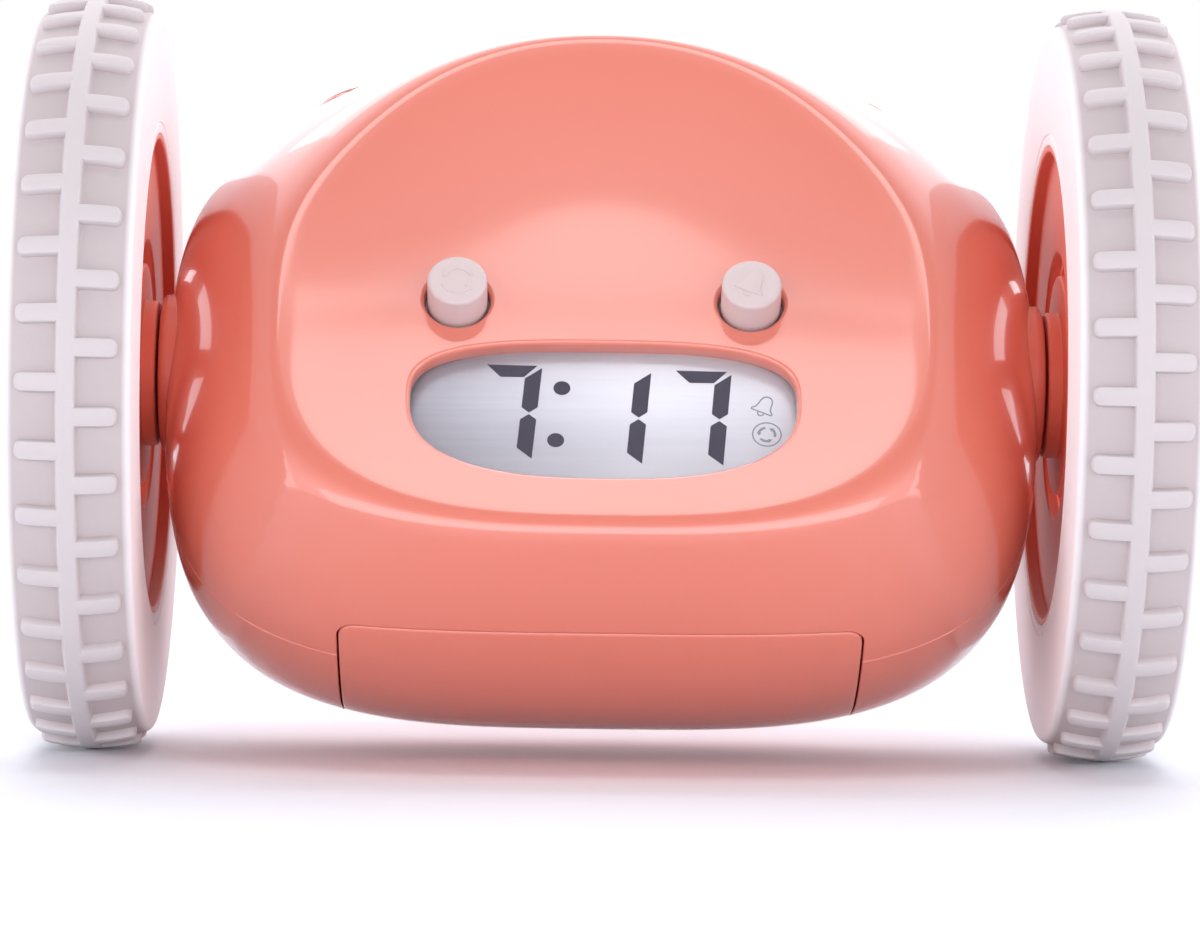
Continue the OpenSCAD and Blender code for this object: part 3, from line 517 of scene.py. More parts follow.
def frontSkin():
    bm = bmesh.new()
    rings = 48
    bmesh.ops.create_uvsphere(bm, u_segments=192, v_segments=rings * 2, radius=1)
    bmesh.ops.delete(bm, geom=[v for v in bm.verts if v.co.z < -1e-4], context="VERTS")
    side = body["faceDistance"] - body["rim"]
    levels = [(seamEdge["set"], seamEdge["inset"], 1), (seamEdge["set"] + seamEdge["inset"], 0, 1)]
    levels += [(0.2 + (side - 0.2) * k / 18, 0, 1) for k in range(1, 19)]
    levels += [(side + body["rim"] * math.sin(math.radians(90 * k / 9)),
                body["rim"] * (1 - math.cos(math.radians(90 * k / 9))), 1) for k in range(1, 10)]
    inner = rings - len(levels) + 1
    levels += [(body["faceDistance"], body["rim"], 1 - k / inner) for k in range(1, inner + 1)]
    for vert in bm.verts:
        level = round(math.asin(min(1, max(0, vert.co.z))) / (math.pi / 2) * rings)
        n, inset, q = levels[level]
        x, v = ringPoint(n, inset, math.atan2(vert.co.y, vert.co.x))
        if q < 1:
            x, v, n = x * q, v * q, body["faceDistance"] - body["dish"] * (1 - q ** body["dishPower"])
        vert.co = (x * endScale(v, n), v, n)
    return bm


def rearSkin():
    bm = bmesh.new()
    steps = 120
    verts = []
    for k in range(steps + 1):
        t = math.radians(-90 + 180 * k / steps)
        reach = body["radius"] * signedPower(math.cos(t), body["power"]) if 0 < k < steps else 0
        verts.append(bm.verts.new((body["halfLength"] * signedPower(math.sin(t), body["power"]), reach, 0)))
    edges = [bm.edges.new(pair) for pair in zip(verts, verts[1:])]
    bmesh.ops.spin(bm, geom=verts + edges, cent=(0, 0, 0), axis=(1, 0, 0), dvec=(0, 0, 0), angle=-math.pi,
                   steps=110, use_merge=False, use_duplicate=False)
    bmesh.ops.remove_doubles(bm, verts=bm.verts, dist=0.001)
    cutThrough(bm, (0, 0, -seamEdge["set"] - seamEdge["inset"]), (0, 0, 1))
    shrink = 1 - seamEdge["inset"] / body["radius"]
    for vert in bm.verts:
        x, v, n = vert.co
        if n > -1e-4:
            x, v, n = x * shrink, v * shrink, -seamEdge["set"]
        vert.co = (x, v, n)
    return bm


def thickSkin(bm, name):
    piece = finishMesh(bm, name, "body", 15)
    modifier = piece.modifiers.new("wall", "SOLIDIFY")
    modifier.thickness = body["wall"]
    modifier.offset = -1
    modifier.use_even_offset = True
    bakeModifiers(piece)
    return piece


frontCasing = thickSkin(frontSkin(), "frontCasing")
rearCasing = thickSkin(rearSkin(), "rearCasing")
for casing, front in ((frontCasing, True), (rearCasing, False)):
    cutters = formCutters(front)
    cutAway(casing, cutters)
    for cutter in cutters:
        bpy.data.objects.remove(cutter)
print("casings made:", len(frontCasing.data.polygons), len(rearCasing.data.polygons))

# Collars round the shaft holes
collar = {"radius": 9.4, "start": 46.0, "end": 52.0, "bore": 3.75, "edge": 1.1}
bm = bmesh.new()
for side in (-1, 1):
    path = roundedCorners([(collar["start"], collar["bore"], 0), (collar["start"], collar["radius"], 0),
                           (collar["end"], collar["radius"], collar["edge"]),
                           (collar["end"], collar["bore"], 0.2)])
    spinAround(bm, [(side * a, b, 0) for a, b in path], (1, 0, 0), 96)
collars = finishMesh(bm, "endCollars", "body")
print("collars made")


# Plates that lie in the body's skin: the snooze bar and the battery door
def skinPlate(name, directions, plate, depth, place=None, squares=48, edgeSteps=6):
    width, height, corner, edge, proud = (plate[k] for k in ("width", "height", "corner", "edge", "proud"))
    bm = bmesh.new()
    bmesh.ops.create_grid(bm, x_segments=squares, y_segments=squares, size=1)
    half = squares // 2
    for vert in bm.verts:
        gx, gy = vert.co.x, vert.co.y
        m = max(abs(gx), abs(gy))
        level = half - round(m * half)  # 0 at the edge
        theta = math.radians(90 * min(level, edgeSteps) / edgeSteps)
        inset, drop = edge * (1 - math.cos(theta)), edge * (1 - math.sin(theta))
        w, h, r = width - 2 * inset, height - 2 * inset, max(0.05, corner - inset)
        share = 1 if level <= edgeSteps else (half - level) / (half - edgeSteps)
        if m < 1e-6:
            s = t = 0.0
        else:
            s, t = gx / m * w / 2, gy / m * h / 2
            cs, ct = math.copysign(w / 2 - r, s), math.copysign(h / 2 - r, t)
            if abs(s) > w / 2 - r and abs(t) > h / 2 - r:
                away = Vector((s - cs, t - ct)).normalized() * r
                s, t = cs + away.x, ct + away.y
            s, t = s * share, t * share
        if place:
            s, t = place(s, t)
        vert.co = skinPoint(directions, s, t, proud - drop)
    made = bmesh.ops.extrude_face_region(bm, geom=bm.faces[:], use_keep_orig=True)["geom"]
    bmesh.ops.translate(bm, vec=directions[2] * -depth, verts=vertsIn(made))
    return finishMesh(bm, name, "body", 40)


snoozeBar = skinPlate("snoozeBar", barDirections, bar, bar["depth"])
batteryDoor = skinPlate("batteryDoor", doorDirections, door, door["depth"], doorPlace, edgeSteps=4)

well = {"outer": 1.5, "inner": gap + 0.1, "top": -0.6, "bottom": -4.4}  # the wall round the bar's opening
start = (well["outer"], well["bottom"])
wellSection = [start, (well["outer"], well["top"]), (well["inner"], well["top"]),
               (well["inner"], well["bottom"]), start]
barWell = outlineRings("snoozeWell", barDirections, barOutline, wellSection, closed=False)
print("bar, door and well made")

# Front buttons with raised signs
eyeTop = body["faceDistance"] - eyes["sunk"] + eyes["proud"]
raised = {"base": 0.2, "height": 0.26, "soft": 0.06}


def flatFace(bm, outline, base, height):  # an outline pulled up into a flat piece
    face = bm.faces.new([bm.verts.new((x, y, base)) for x, y in outline])
    grown = bmesh.ops.extrude_face_region(bm, geom=[face])["geom"]
    bmesh.ops.translate(bm, vec=(0, 0, height), verts=vertsIn(grown))
    return grown


def arcArrow(start, sweep, radius, width, head, steps=14):
    turns = [start + sweep * k / steps for k in range(steps + 1)]
    end = start + sweep
    tip = [polar(radius + head * 0.62, end),
           polar(radius, end + math.copysign(math.degrees(head / radius), sweep)),
           polar(radius - head * 0.62, end)]
    return ([polar(radius + width / 2, a) for a in turns] + tip
            + [polar(radius - width / 2, a) for a in reversed(turns)])


bellHalf = [(0.0, 1.95), (0.42, 1.85), (0.78, 1.5), (0.98, 0.95), (1.08, 0.2), (1.25, -0.45), (1.75, -0.95),
            (1.7, -1.2)]
bellOutline = bellHalf + [(-x, y) for x, y in reversed(bellHalf[1:])]
clapper = [(x, y - 1.42) for x, y in (polar(0.48, a) for a in range(180, 361, 20))]
bellLean = -24
signs = {"alarmKey": [arcArrow(start, 118, 1.75, 0.5, 0.95) for start in (200, 20)],
         "runKey": [turnedFlat(outline, bellLean) for outline in (bellOutline, clapper)]}


def keyPath(radius, bottom, top, foot, edges, dish, steps):  # half the section of a round key with a flange
    flange, (hollow, depth) = radius + 1, dish
    return roundedCorners([(0, bottom, 0), (flange, bottom, 0), (flange, bottom + foot, 0),
                           (radius, bottom + foot, 0), (radius, top, edges[0]),
                           (hollow, top - 0.02, edges[1]), (0, top - depth, 0)], steps, closed=False)


keys = {}
for name, side in (("alarmKey", -1), ("runKey", 1)):
    bm = bmesh.new()
    x, v = side * eyes["pitch"] / 2, eyes["v"]
    path = keyPath(eyes["radius"], eyes["bottom"], eyeTop, 0.8, (0.75, 0.4), (2.3, 0.1), 6)
    spinAround(bm, [(x + a, v, b) for a, b in path], (0, 0, 1), 72, closed=False, centre=(x, v, 0))
    for outline in signs[name]:
        grown = flatFace(bm, [(x + a, v + b) for a, b in outline], eyeTop - raised["base"], raised["height"])
        bevelEdges(bm, [g for g in grown if isinstance(g, bmesh.types.BMEdge)], raised["soft"])
    keys[name] = finishMesh(bm, name, "body", 50)
print("front keys made")

# Setting keys on the back
for i, name in enumerate(("hourKey", "minuteKey", "timeKey", "setKey")):
    bm = bmesh.new()
    x = (i - 1.5) * setting["pitch"]
    path = keyPath(setting["radius"], setting["bottom"], body["radius"] + setting["proud"], 0.9, (0.6, 0.3),
                   (1.9, 0.25), 5)
    aside, out = settingDirections[0], settingDirections[2]
    spinAround(bm, [aside * (x + a) + out * b for a, b in path], out, 60, closed=False, centre=aside * x)
    keys[name] = finishMesh(bm, name, "body", 50)
print("setting keys made")

# The display
display = {"top": 17.2, "thick": 2.2, "width": 48.0, "height": 19.4, "coverTop": 18.56, "coverThick": 1.0,
           "lip": 1.3, "bevel": 0.1, "lean": 4.8, "stroke": 1.85, "half": 6.4, "tip": 0.85, "split": 0.12,
           "raise": 0.03, "sink": 0.05, "line": 0.16}
windowMiddle = window["v"] + (window["rise"] - 0.5) * window["height"]
bm = bmesh.new()
roundedBox(bm, (display["width"], display["height"], display["thick"]),
           (0, windowMiddle, display["top"] - display["thick"] / 2), 0.25)
displayPanel = finishMesh(bm, "displayPanel", "body")

lip, bevel, thick = (display[k] for k in ("lip", "bevel", "coverThick"))
displayCover = outlineRings("displayCover", faceDirections, windowOutline,
                            [(lip - bevel, -thick), (lip, bevel - thick), (lip, -bevel), (lip - bevel, 0)],
                            lambda directions, x, v: display["coverTop"])

# Segments of the digits 7, 1 and 7, with the colon; x is the right-hand stroke's middle
digits = {"tops": [(-7.9, -11.75, 6.0), (13.85, -12.25, 6.1)], "strokes": [-7.95, 4.55, 13.75],
          "strokeTop": [-11.3, -11.8, -11.9], "dots": [(-4.75, -14.1), (-5.4, -21.4)], "dotRadius": 0.97}


def flatPart(bm, outline, lift=display["raise"]):
    flatFace(bm, outline, display["top"] - display["sink"], display["sink"] + lift)


def leaned(x, v, top):  # the digits lean: lower parts lie further left
    return x - (top - v) * math.tan(math.radians(display["lean"])), v


bm = bmesh.new()
for x, top in zip(digits["strokes"], digits["strokeTop"]):
    side, half, tip, split = display["stroke"] / 2, display["half"], display["tip"], display["split"]
    high = [(x - side, top - 1.5), (x + side, top), (x + side, top - half + tip),
            (x, top - half + split), (x - side, top - half + tip)]
    low = [(x - side, top - half - tip), (x, top - half - split), (x + side, top - half - tip),
           (x + side, top - 2 * half + 0.1), (x - side, top - 2 * half + 1.6)]
    for outline in (high, low):
        flatPart(bm, [leaned(a, b, top) for a, b in outline])
for x, v, length in digits["tops"]:
    right = x + 0.55
    flatPart(bm, [(right - length, v + 0.85), (right - 0.25, v + 0.75), (right - 1.75, v - 0.85),
                  (right - length + 1.55, v - 0.85)])
for x, v in digits["dots"]:
    flatPart(bm, circleOutline(x, v, digits["dotRadius"], 32))
displayDigits = finishMesh(bm, "displayDigits", "body")


signBell = {"spot": (18.35, -16.3), "size": 0.72}
signRound = {"spot": (18.6, -20.2), "radius": 1.62, "arrow": 0.62}
signLift = 0.02


def lineLoop(bm, points, closed=True):  # an outline drawn as a thin flat line
    count, width = len(points), display["line"]
    for i in range(count if closed else count - 1):
        a, b = Vector(points[i]), Vector(points[(i + 1) % count])
        along = (b - a).normalized()
        side = Vector((-along.y, along.x)) * width / 2
        a, b = a - along * width * 0.3, b + along * width * 0.3
        flatPart(bm, [a - side, b - side, b + side, a + side], signLift)


bm = bmesh.new()
lineLoop(bm, turnedFlat(bellOutline, bellLean, signBell["size"], signBell["spot"]))
lineLoop(bm, turnedFlat(clapper, bellLean, signBell["size"], signBell["spot"]), closed=False)
lineLoop(bm, circleOutline(*signRound["spot"], signRound["radius"], 40))
for start in (100, 220, 340):
    arrow = arcArrow(start, 62, 1.5, 0.5, 0.75)
    flatPart(bm, turnedFlat(arrow, 0, signRound["arrow"], signRound["spot"]), signLift)
displaySigns = finishMesh(bm, "displaySigns", "body")
print("display made")

# The wheels
tyre = {"inner": 52.5, "width": 14.0, "radius": 44.5, "lug": 1.1, "crown": 0.024, "shoulder": 1.3, "rib": 2.0,
        "lugs": 36, "lugWidth": 2.2, "lugEnd": 1.5, "lugDepth": 1.7, "lugBend": 3.2, "shift": 0.1,
        "seat": 28.4, "sunk": 1.5}
tyreMiddle = tyre["inner"] + tyre["width"] / 2
treadBase = tyre["radius"] - tyre["lug"]


def crownRadius(x):
    return treadBase - tyre["crown"] * x * x


def tyreSection():
    half, seat = tyre["width"] / 2, tyre["seat"]
    edge = crownRadius(half)
    points = [(-half, seat, 0.3), (-half, seat + 1.1, 0), (-half + 0.22, seat + 1.25, 0.1),
              (-half, seat + 1.4, 0), (-half, edge, tyre["shoulder"])]
    rib = tyre["rib"] / 2
    points += [(x, crownRadius(x), 0) for x in (-5.2, -4.2, -3.2, -2.2)]
    points += [(-rib - 0.25, crownRadius(rib), 0.2), (-rib, tyre["radius"], 0.4),
               (rib, tyre["radius"], 0.4), (rib + 0.25, crownRadius(rib), 0.2)]
    points += [(x, crownRadius(x), 0) for x in (2.2, 3.2, 4.2, 5.2)]
    points += [(half, edge, tyre["shoulder"]), (half, edge - 3.5, 0.5),
               (half - tyre["sunk"], seat + 2.2, 1.0), (half - tyre["sunk"], seat, 0.2)]
    return roundedCorners(points, 6)


def oneLug(bm, side):
    half = tyre["width"] / 2
    start, end = tyre["rib"] / 2 - 0.3, half - tyre["lugEnd"] + 0.2
    made = bmesh.ops.create_cube(bm, size=1)["verts"]
    bmesh.ops.scale(bm, vec=(end - start, tyre["lugWidth"], tyre["lugDepth"]), verts=made)
    bmesh.ops.translate(bm, vec=((start + end) / 2, 0, tyre["lug"] - tyre["lugDepth"] / 2), verts=made)
    bevelEdges(bm, [e for e in bm.edges if all(v.co.x > end - 0.01 for v in e.verts)
                    and abs(e.verts[0].co.z - e.verts[1].co.z) > 1], 0.8, 3)
    top = [e for e in bm.edges if all(v.co.z > tyre["lug"] - 0.05 for v in e.verts)]
    bevelEdges(bm, [e for e in top if all(v.co.x > start + 0.01 for v in e.verts)
                    or abs(e.verts[0].co.x - e.verts[1].co.x) > 1], 0.38)
    cutThrough(bm, (tyre["lugBend"], 0, 0), (1, 0, 0))
    for vert in bm.verts:
        vert.co.z += crownRadius(vert.co.x)
        vert.co.x = side * vert.co.x


def makeTyre(name, side):
    bm = bmesh.new()
    for rowSide in (1, -1):
        shift = tyre["shift"] + (0.5 if rowSide == side else 0)  # the right-hand row stands half a pitch on
        lug = bmesh.new()
        oneLug(lug, rowSide)
        lugMesh = bpy.data.meshes.new("lug")
        lug.to_mesh(lugMesh)
        lug.free()
        for k in range(tyre["lugs"]):
            before = set(bm.verts)
            bm.from_mesh(lugMesh)
            turnNew(bm, before, 360 * (k + shift) / tyre["lugs"])
        bpy.data.meshes.remove(lugMesh)
    spinAround(bm, [(a, 0, b) for a, b in tyreSection()], (1, 0, 0), 180)
    for vert in bm.verts:
        vert.co.x = side * (tyreMiddle + vert.co.x)
    return finishMesh(bm, name, "wheel", 38)


disc = {"start": 52.6, "face": 53.9, "radius": 28.4, "lip": 0.7, "hole": 15.7, "web": 1.5, "end": 65.0,
        "wall": 1.6, "flange": 13.0, "flangeStart": 0.1, "flangeEnd": 1.1, "boss": 8.6, "bossStart": 52.35,
        "bossEnd": 62.0, "bore": 2.05, "spokes": 6, "spokeWidth": 1.4, "spokeSink": 0.6}
cap = {"start": 62.0, "edge": 62.8, "slope": 64.4, "top": 65.0, "radius": 8.0, "inner": 6.2}


def makeDisc(name, side):
    bm = bmesh.new()
    outer, face, boss = disc["radius"], disc["face"], disc["boss"]
    back = face + disc["web"]
    lip, wall = outer - disc["lip"], outer - disc["wall"]
    rim = [(disc["start"], outer, 0.15), (disc["start"], lip, 0.25), (face, lip, 0.15),
           (face, disc["hole"], 0.4), (back, disc["hole"], 0.4), (back, wall, 0.6),
           (disc["end"], wall, 0.4), (disc["end"], outer, 0.2)]
    spinAround(bm, [(side * a, 0, b) for a, b in roundedCorners(rim)], (1, 0, 0), 144)
    front, rear = face + disc["flangeStart"], face + disc["flangeEnd"]
    hub = [(disc["bossStart"], disc["bore"], 0), (disc["bossStart"], boss, 0.5), (front, boss, 0.15),
           (front, disc["flange"], 0.3), (rear, disc["flange"], 0.3), (rear, boss, 0.4),
           (disc["bossEnd"], boss, 0.3), (disc["bossEnd"], disc["bore"], 0)]
    spinAround(bm, [(side * a, 0, b) for a, b in roundedCorners(hub)], (1, 0, 0), 120)
    depth, length, sink = disc["bossEnd"] - 1 - back, outer - boss, disc["spokeSink"]
    for k in range(disc["spokes"]):
        before = set(bm.verts)
        roundedBox(bm, (depth, disc["spokeWidth"], length - sink),
                   (side * (back + depth / 2 - 0.02), 0, boss - sink + length / 2), 0.25)
        turnNew(bm, before, 360 * k / disc["spokes"])
    return finishMesh(bm, name, "wheel", 38)


def makeCap(name, side):
    bm = bmesh.new()
    path = roundedCorners([(cap["start"], 0, 0), (cap["start"], cap["radius"], 0),
                           (cap["edge"], cap["radius"], 0.5), (cap["slope"], cap["inner"], 1.6),
                           (cap["top"], 0, 0)], 8, closed=False)
    spinAround(bm, [(side * a, 0, b) for a, b in path], (1, 0, 0), 96, closed=False)
    return finishMesh(bm, name, "wheel", 50)


wheels = {}
for word, side in (("left", -1), ("right", 1)):
    wheels[word] = (makeTyre(word + "TyreSkin", side), makeDisc(word + "Disc", side),
                    makeCap(word + "Cap", side))
print("wheels made")


# Helpers for shader nodes
def feed(tree, socket, value):  # a link, a colour or a plain value
    if isinstance(value, bpy.types.NodeSocket):
        tree.links.new(value, socket)
    else:
        socket.default_value = (*value, 1) if isinstance(value, tuple) else value


def placedIn(tree, vector, scale=(1, 1, 1), shift=(0, 0, 0)):  # Object coordinates through a Mapping node
    where = tree.nodes.new("ShaderNodeTexCoord")
    stretch = tree.nodes.new("ShaderNodeMapping")
    stretch.inputs["Scale"].default_value = scale
    stretch.inputs["Location"].default_value = shift
    tree.links.new(where.outputs["Object"], stretch.inputs["Vector"])
    tree.links.new(stretch.outputs["Vector"], vector)


def mathNode(tree, operation, *values):
    node = tree.nodes.new("ShaderNodeMath")
    node.operation = operation
    for socket, value in zip(node.inputs, values):
        feed(tree, socket, value)
    return node.outputs[0]


def stepBetween(tree, value, low, high, start=0.0, end=1.0):
    level = tree.nodes.new("ShaderNodeMapRange")
    limits = {"From Min": low, "From Max": high, "To Min": start, "To Max": end}
    for label, amount in {**limits, "Value": value}.items():
        feed(tree, level.inputs[label], amount)
    return level.outputs["Result"]


def mixColours(tree, share, first, second):
    mix = tree.nodes.new("ShaderNodeMix")
    mix.data_type = "RGBA"
    for label, value in (("Factor", share), ("A", first), ("B", second)):
        feed(tree, mix.inputs[label], value)
    return mix.outputs["Result"]


def noise(tree, size, detail, scale=(1, 1, 1)):
    grain = tree.nodes.new("ShaderNodeTexNoise")
    grain.inputs["Detail"].default_value = detail
    feed(tree, grain.inputs["Scale"], size)
    placedIn(tree, grain.inputs["Vector"], scale)
    return grain.outputs["Fac"]


def bumpFrom(tree, height, strength, distance):
    bump = tree.nodes.new("ShaderNodeBump")
    bump.inputs["Distance"].default_value = distance
    feed(tree, bump.inputs["Height"], height)
    feed(tree, bump.inputs["Strength"], strength)
    return bump.outputs["Normal"]


def showMix(tree, share, first, second, output):  # both shaders, mixed, into the output node
    mix = tree.nodes.new("ShaderNodeMixShader")
    for socket, value in zip(mix.inputs, (share, first, second)):
        tree.links.new(value, socket)
    tree.links.new(mix.outputs["Shader"], tree.nodes[output].inputs["Surface"])


# Shared shader groups
def newGroup(name, inputs):
    group = bpy.data.node_groups.new(name, "ShaderNodeTree")
    for label, value in inputs.items():
        kind = "NodeSocketColor" if isinstance(value, tuple) else "NodeSocketFloat"
        socket = group.interface.new_socket(name=label, in_out="INPUT", socket_type=kind)
        socket.default_value = (*value, 1) if isinstance(value, tuple) else value
    for label, kind in (("Colour", "Color"), ("Roughness", "Float"), ("Normal", "Vector")):
        group.interface.new_socket(name=label, in_out="OUTPUT", socket_type="NodeSocket" + kind)
    return group, group.nodes.new("NodeGroupInput").outputs, group.nodes.new("NodeGroupOutput").inputs


def mouldedSkinGroup():
    group, given, out = newGroup("mouldedSkin", {
        "Colour": (0.8, 0.8, 0.8), "Deep Colour": (0.6, 0.6, 0.6), "Cloud Size": 30.0, "Cloud Strength": 0.3,
        "Roughness": 0.3, "Roughness Spread": 0.1, "Grain Size": 2500.0, "Grain Height": 0.02})
    cloud = mathNode(group, "MULTIPLY", noise(group, given["Cloud Size"], 4), given["Cloud Strength"])
    feed(group, out["Colour"], mixColours(group, cloud, given["Colour"], given["Deep Colour"]))
    haze = mathNode(group, "MULTIPLY_ADD", noise(group, 90, 3), given["Roughness Spread"], given["Roughness"])
    feed(group, out["Roughness"], haze)
    grain = noise(group, given["Grain Size"], 2)
    feed(group, out["Normal"], bumpFrom(group, grain, given["Grain Height"], 0.0001))
    return group


def brushedMetalGroup():
    group, given, out = newGroup("brushedMetal", {
        "Colour": (0.6, 0.6, 0.6), "Dark Colour": (0.4, 0.4, 0.4), "Roughness": 0.3, "Line Height": 0.1})
    lines = noise(group, 1, 4, (3000, 60, 60))
    feed(group, out["Colour"], mixColours(group, lines, given["Colour"], given["Dark Colour"]))
    feed(group, out["Roughness"], mathNode(group, "MULTIPLY_ADD", lines, 0.15, given["Roughness"]))
    feed(group, out["Normal"], bumpFrom(group, lines, given["Line Height"], 0.00005))
    return group


mouldedSkin = mouldedSkinGroup()
brushedMetal = brushedMetalGroup()


def startMaterial(name, plain):
    material = bpy.data.materials.new(name)
    material.use_nodes = True
    shader = material.node_tree.nodes["Principled BSDF"]
    for label, value in plain.items():
        feed(material.node_tree, shader.inputs[label], value)
    return material, material.node_tree, shader


def newMaterial(name, group, values, plain):
    material, tree, shader = startMaterial(name, plain)
    effect = tree.nodes.new("ShaderNodeGroup")
    effect.node_tree = group
    for label, value in values.items():
        feed(tree, effect.inputs[label], value)
    for label, socket in (("Colour", "Base Color"), ("Roughness", "Roughness"), ("Normal", "Normal")):
        tree.links.new(effect.outputs[label], shader.inputs[socket])
    return material


def skin(name, colour, deep, roughness, spread, cloud, size, grain=0.02, grainSize=2500.0, **plain):
    return newMaterial(name, mouldedSkin, {
        "Colour": colour, "Deep Colour": deep, "Cloud Size": size, "Cloud Strength": cloud,
        "Roughness": roughness, "Roughness Spread": spread, "Grain Size": grainSize,
        "Grain Height": grain}, plain)


def metal(name, colour, dark, roughness, lines=0.1):
    return newMaterial(name, brushedMetal, {"Colour": colour, "Dark Colour": dark, "Roughness": roughness,
                                            "Line Height": lines}, {"Metallic": 1.0})


materials = {
    "casing": skin("coralGloss", (0.74, 0.20, 0.138), (0.71, 0.18, 0.12), 0.28, 0.06, 0.4, 26, 0.03, 1400,
                   **{"Coat Weight": 1.0, "Coat Roughness": 0.05, "Specular IOR Level": 0.5}),
    "disc": skin("coralSatin", (0.74, 0.15, 0.09), (0.71, 0.13, 0.08), 0.5, 0.06, 0.4, 26, 0.05, 1400,
                 **{"Specular IOR Level": 0.25}),
    "button": skin("paleKey", (0.65, 0.545, 0.535), (0.6, 0.485, 0.48), 0.38, 0.08, 0.4, 120, 0.08, 2600),
    "cap": skin("paleCap", (0.72, 0.64, 0.67), (0.66, 0.58, 0.62), 0.35, 0.08, 0.4, 80, 0.06, 2400),
    "moulding": skin("innerMoulding", (0.8, 0.77, 0.68), (0.72, 0.68, 0.58), 0.5, 0.1, 0.5, 60, 0.2, 1500),
    "component": skin("blackComponent", (0.03, 0.03, 0.033), (0.02, 0.02, 0.022), 0.45, 0.15, 0.5, 200, 0.2),
    "connector": skin("pinkStrip", (0.75, 0.25, 0.2), (0.6, 0.18, 0.15), 0.6, 0.1, 0.5, 300, 0.2),
    "diffuser": skin("whiteDiffuser", (0.86, 0.86, 0.82), (0.8, 0.8, 0.76), 0.5, 0.1, 0.4, 90, 0.15),
    "screw": metal("platedSteel", (0.62, 0.63, 0.65), (0.45, 0.46, 0.48), 0.25),
    "motor": metal("drawnSteel", (0.58, 0.59, 0.60), (0.42, 0.43, 0.45), 0.3, 0.2),
    "shaft": metal("groundSteel", (0.66, 0.67, 0.68), (0.5, 0.5, 0.52), 0.18, 0.15),
    "brass": metal("plainBrass", (0.66, 0.47, 0.18), (0.5, 0.34, 0.12), 0.28, 0.15),
    "cell": metal("cellJacket", (0.6, 0.61, 0.64), (0.42, 0.43, 0.46), 0.32, 0.1),
    "segment": skin("darkSegment", (0.035, 0.028, 0.05), (0.06, 0.05, 0.08), 0.5, 0.05, 0.6, 60, 0.02,
                    **{"Specular IOR Level": 0.1}),
    "sign": skin("greySign", (0.20, 0.21, 0.24), (0.26, 0.27, 0.30), 0.4, 0.05, 0.6, 80, 0.02),
}


def effectOf(material):
    return next(n for n in material.node_tree.nodes if n.type == "GROUP")


def boardMaterial():  # green lacquer with copper tracks under it
    material = skin("greenBoard", (0.02, 0.12, 0.05), (0.03, 0.16, 0.07), 0.3, 0.1, 0.8, 150, 0.1)
    tree = material.node_tree
    tracks = tree.nodes.new("ShaderNodeTexBrick")
    for label, value in (("Scale", 220), ("Mortar Size", 0.06), ("Color1", (0, 0, 0)), ("Color2", (0, 0, 0)),
                         ("Mortar", (1, 1, 1))):
        feed(tree, tracks.inputs[label], value)
    placedIn(tree, tracks.inputs["Vector"])
    green = effectOf(material).outputs["Colour"]
    feed(tree, tree.nodes["Principled BSDF"].inputs["Base Color"],
         mixColours(tree, tracks.outputs["Color"], green, (0.06, 0.24, 0.08)))
    return material


def tyreMaterial():  # pale rubber, with painted shade in the tread's grooves and painted light on the side walls
    # the lug grey is the rubber's own colour; the groove grey is painted shade and the wall grey is painted light
    shades = {"paintedGrooveShade": (0.52, 0.455, 0.455), "lug": (0.60, 0.55, 0.555), "wall": (0.93, 0.91, 0.92)}
    material = skin("paleTyre", shades["lug"], shades["lug"], 0.55, 0.1, 0.5, 60, 0.25, 1800)
    tree = material.node_tree
    parts = tree.nodes.new("ShaderNodeSeparateXYZ")
    placedIn(tree, parts.inputs["Vector"], (1, 1, 1), (0, 0, -body["axleHeight"] * millimetre))
    x, y, z = parts.outputs
    aside = mathNode(tree, "SUBTRACT", mathNode(tree, "ABSOLUTE", x), tyreMiddle * millimetre)
    radius = mathNode(tree, "SQRT", mathNode(tree, "ADD", mathNode(tree, "POWER", y, 2),
                                             mathNode(tree, "POWER", z, 2)))
    crown = mathNode(tree, "MULTIPLY", mathNode(tree, "MULTIPLY", aside, aside), tyre["crown"] / millimetre)
    above = mathNode(tree, "SUBTRACT", mathNode(tree, "ADD", radius, crown), treadBase * millimetre)
    # painted shade: the tread between the lugs takes the darker groove grey
    onLug = stepBetween(tree, above, 0.0001, 0.0008)
    # painted light: the side walls take a near-white grey
    paintedWallLightMask = mathNode(tree, "MAXIMUM", stepBetween(tree, mathNode(tree, "ABSOLUTE", aside), 0.0060, 0.0069),
                      stepBetween(tree, radius, 0.0415, 0.0400))
    whole = mixColours(tree, paintedWallLightMask, mixColours(tree, onLug, shades["paintedGrooveShade"], shades["lug"]), shades["wall"])
    for label in ("Colour", "Deep Colour"):
        feed(tree, effectOf(material).inputs[label], whole)
    return material


def displayMaterial():  # silver-grey liquid crystal: brushed along x, with painted shade darkening it towards its left end
    material, tree, shader = startMaterial("displayGrey", {"Roughness": 0.35, "Metallic": 0.25})
    lines = noise(tree, 1, 3, (60, 1500, 1500))
    parts = tree.nodes.new("ShaderNodeSeparateXYZ")
    placedIn(tree, parts.inputs["Vector"])
    # painted shade: a ramp along x darkens the panel's left end
    across = stepBetween(tree, parts.outputs["X"], -0.023, 0.004)
    paintedShadeGrey = mixColours(tree, lines, (0.25, 0.24, 0.28), (0.31, 0.30, 0.34))
    clear = mixColours(tree, lines, (0.53, 0.515, 0.555), (0.61, 0.59, 0.63))
    feed(tree, shader.inputs["Base Color"], mixColours(tree, across, paintedShadeGrey, clear))
    return material


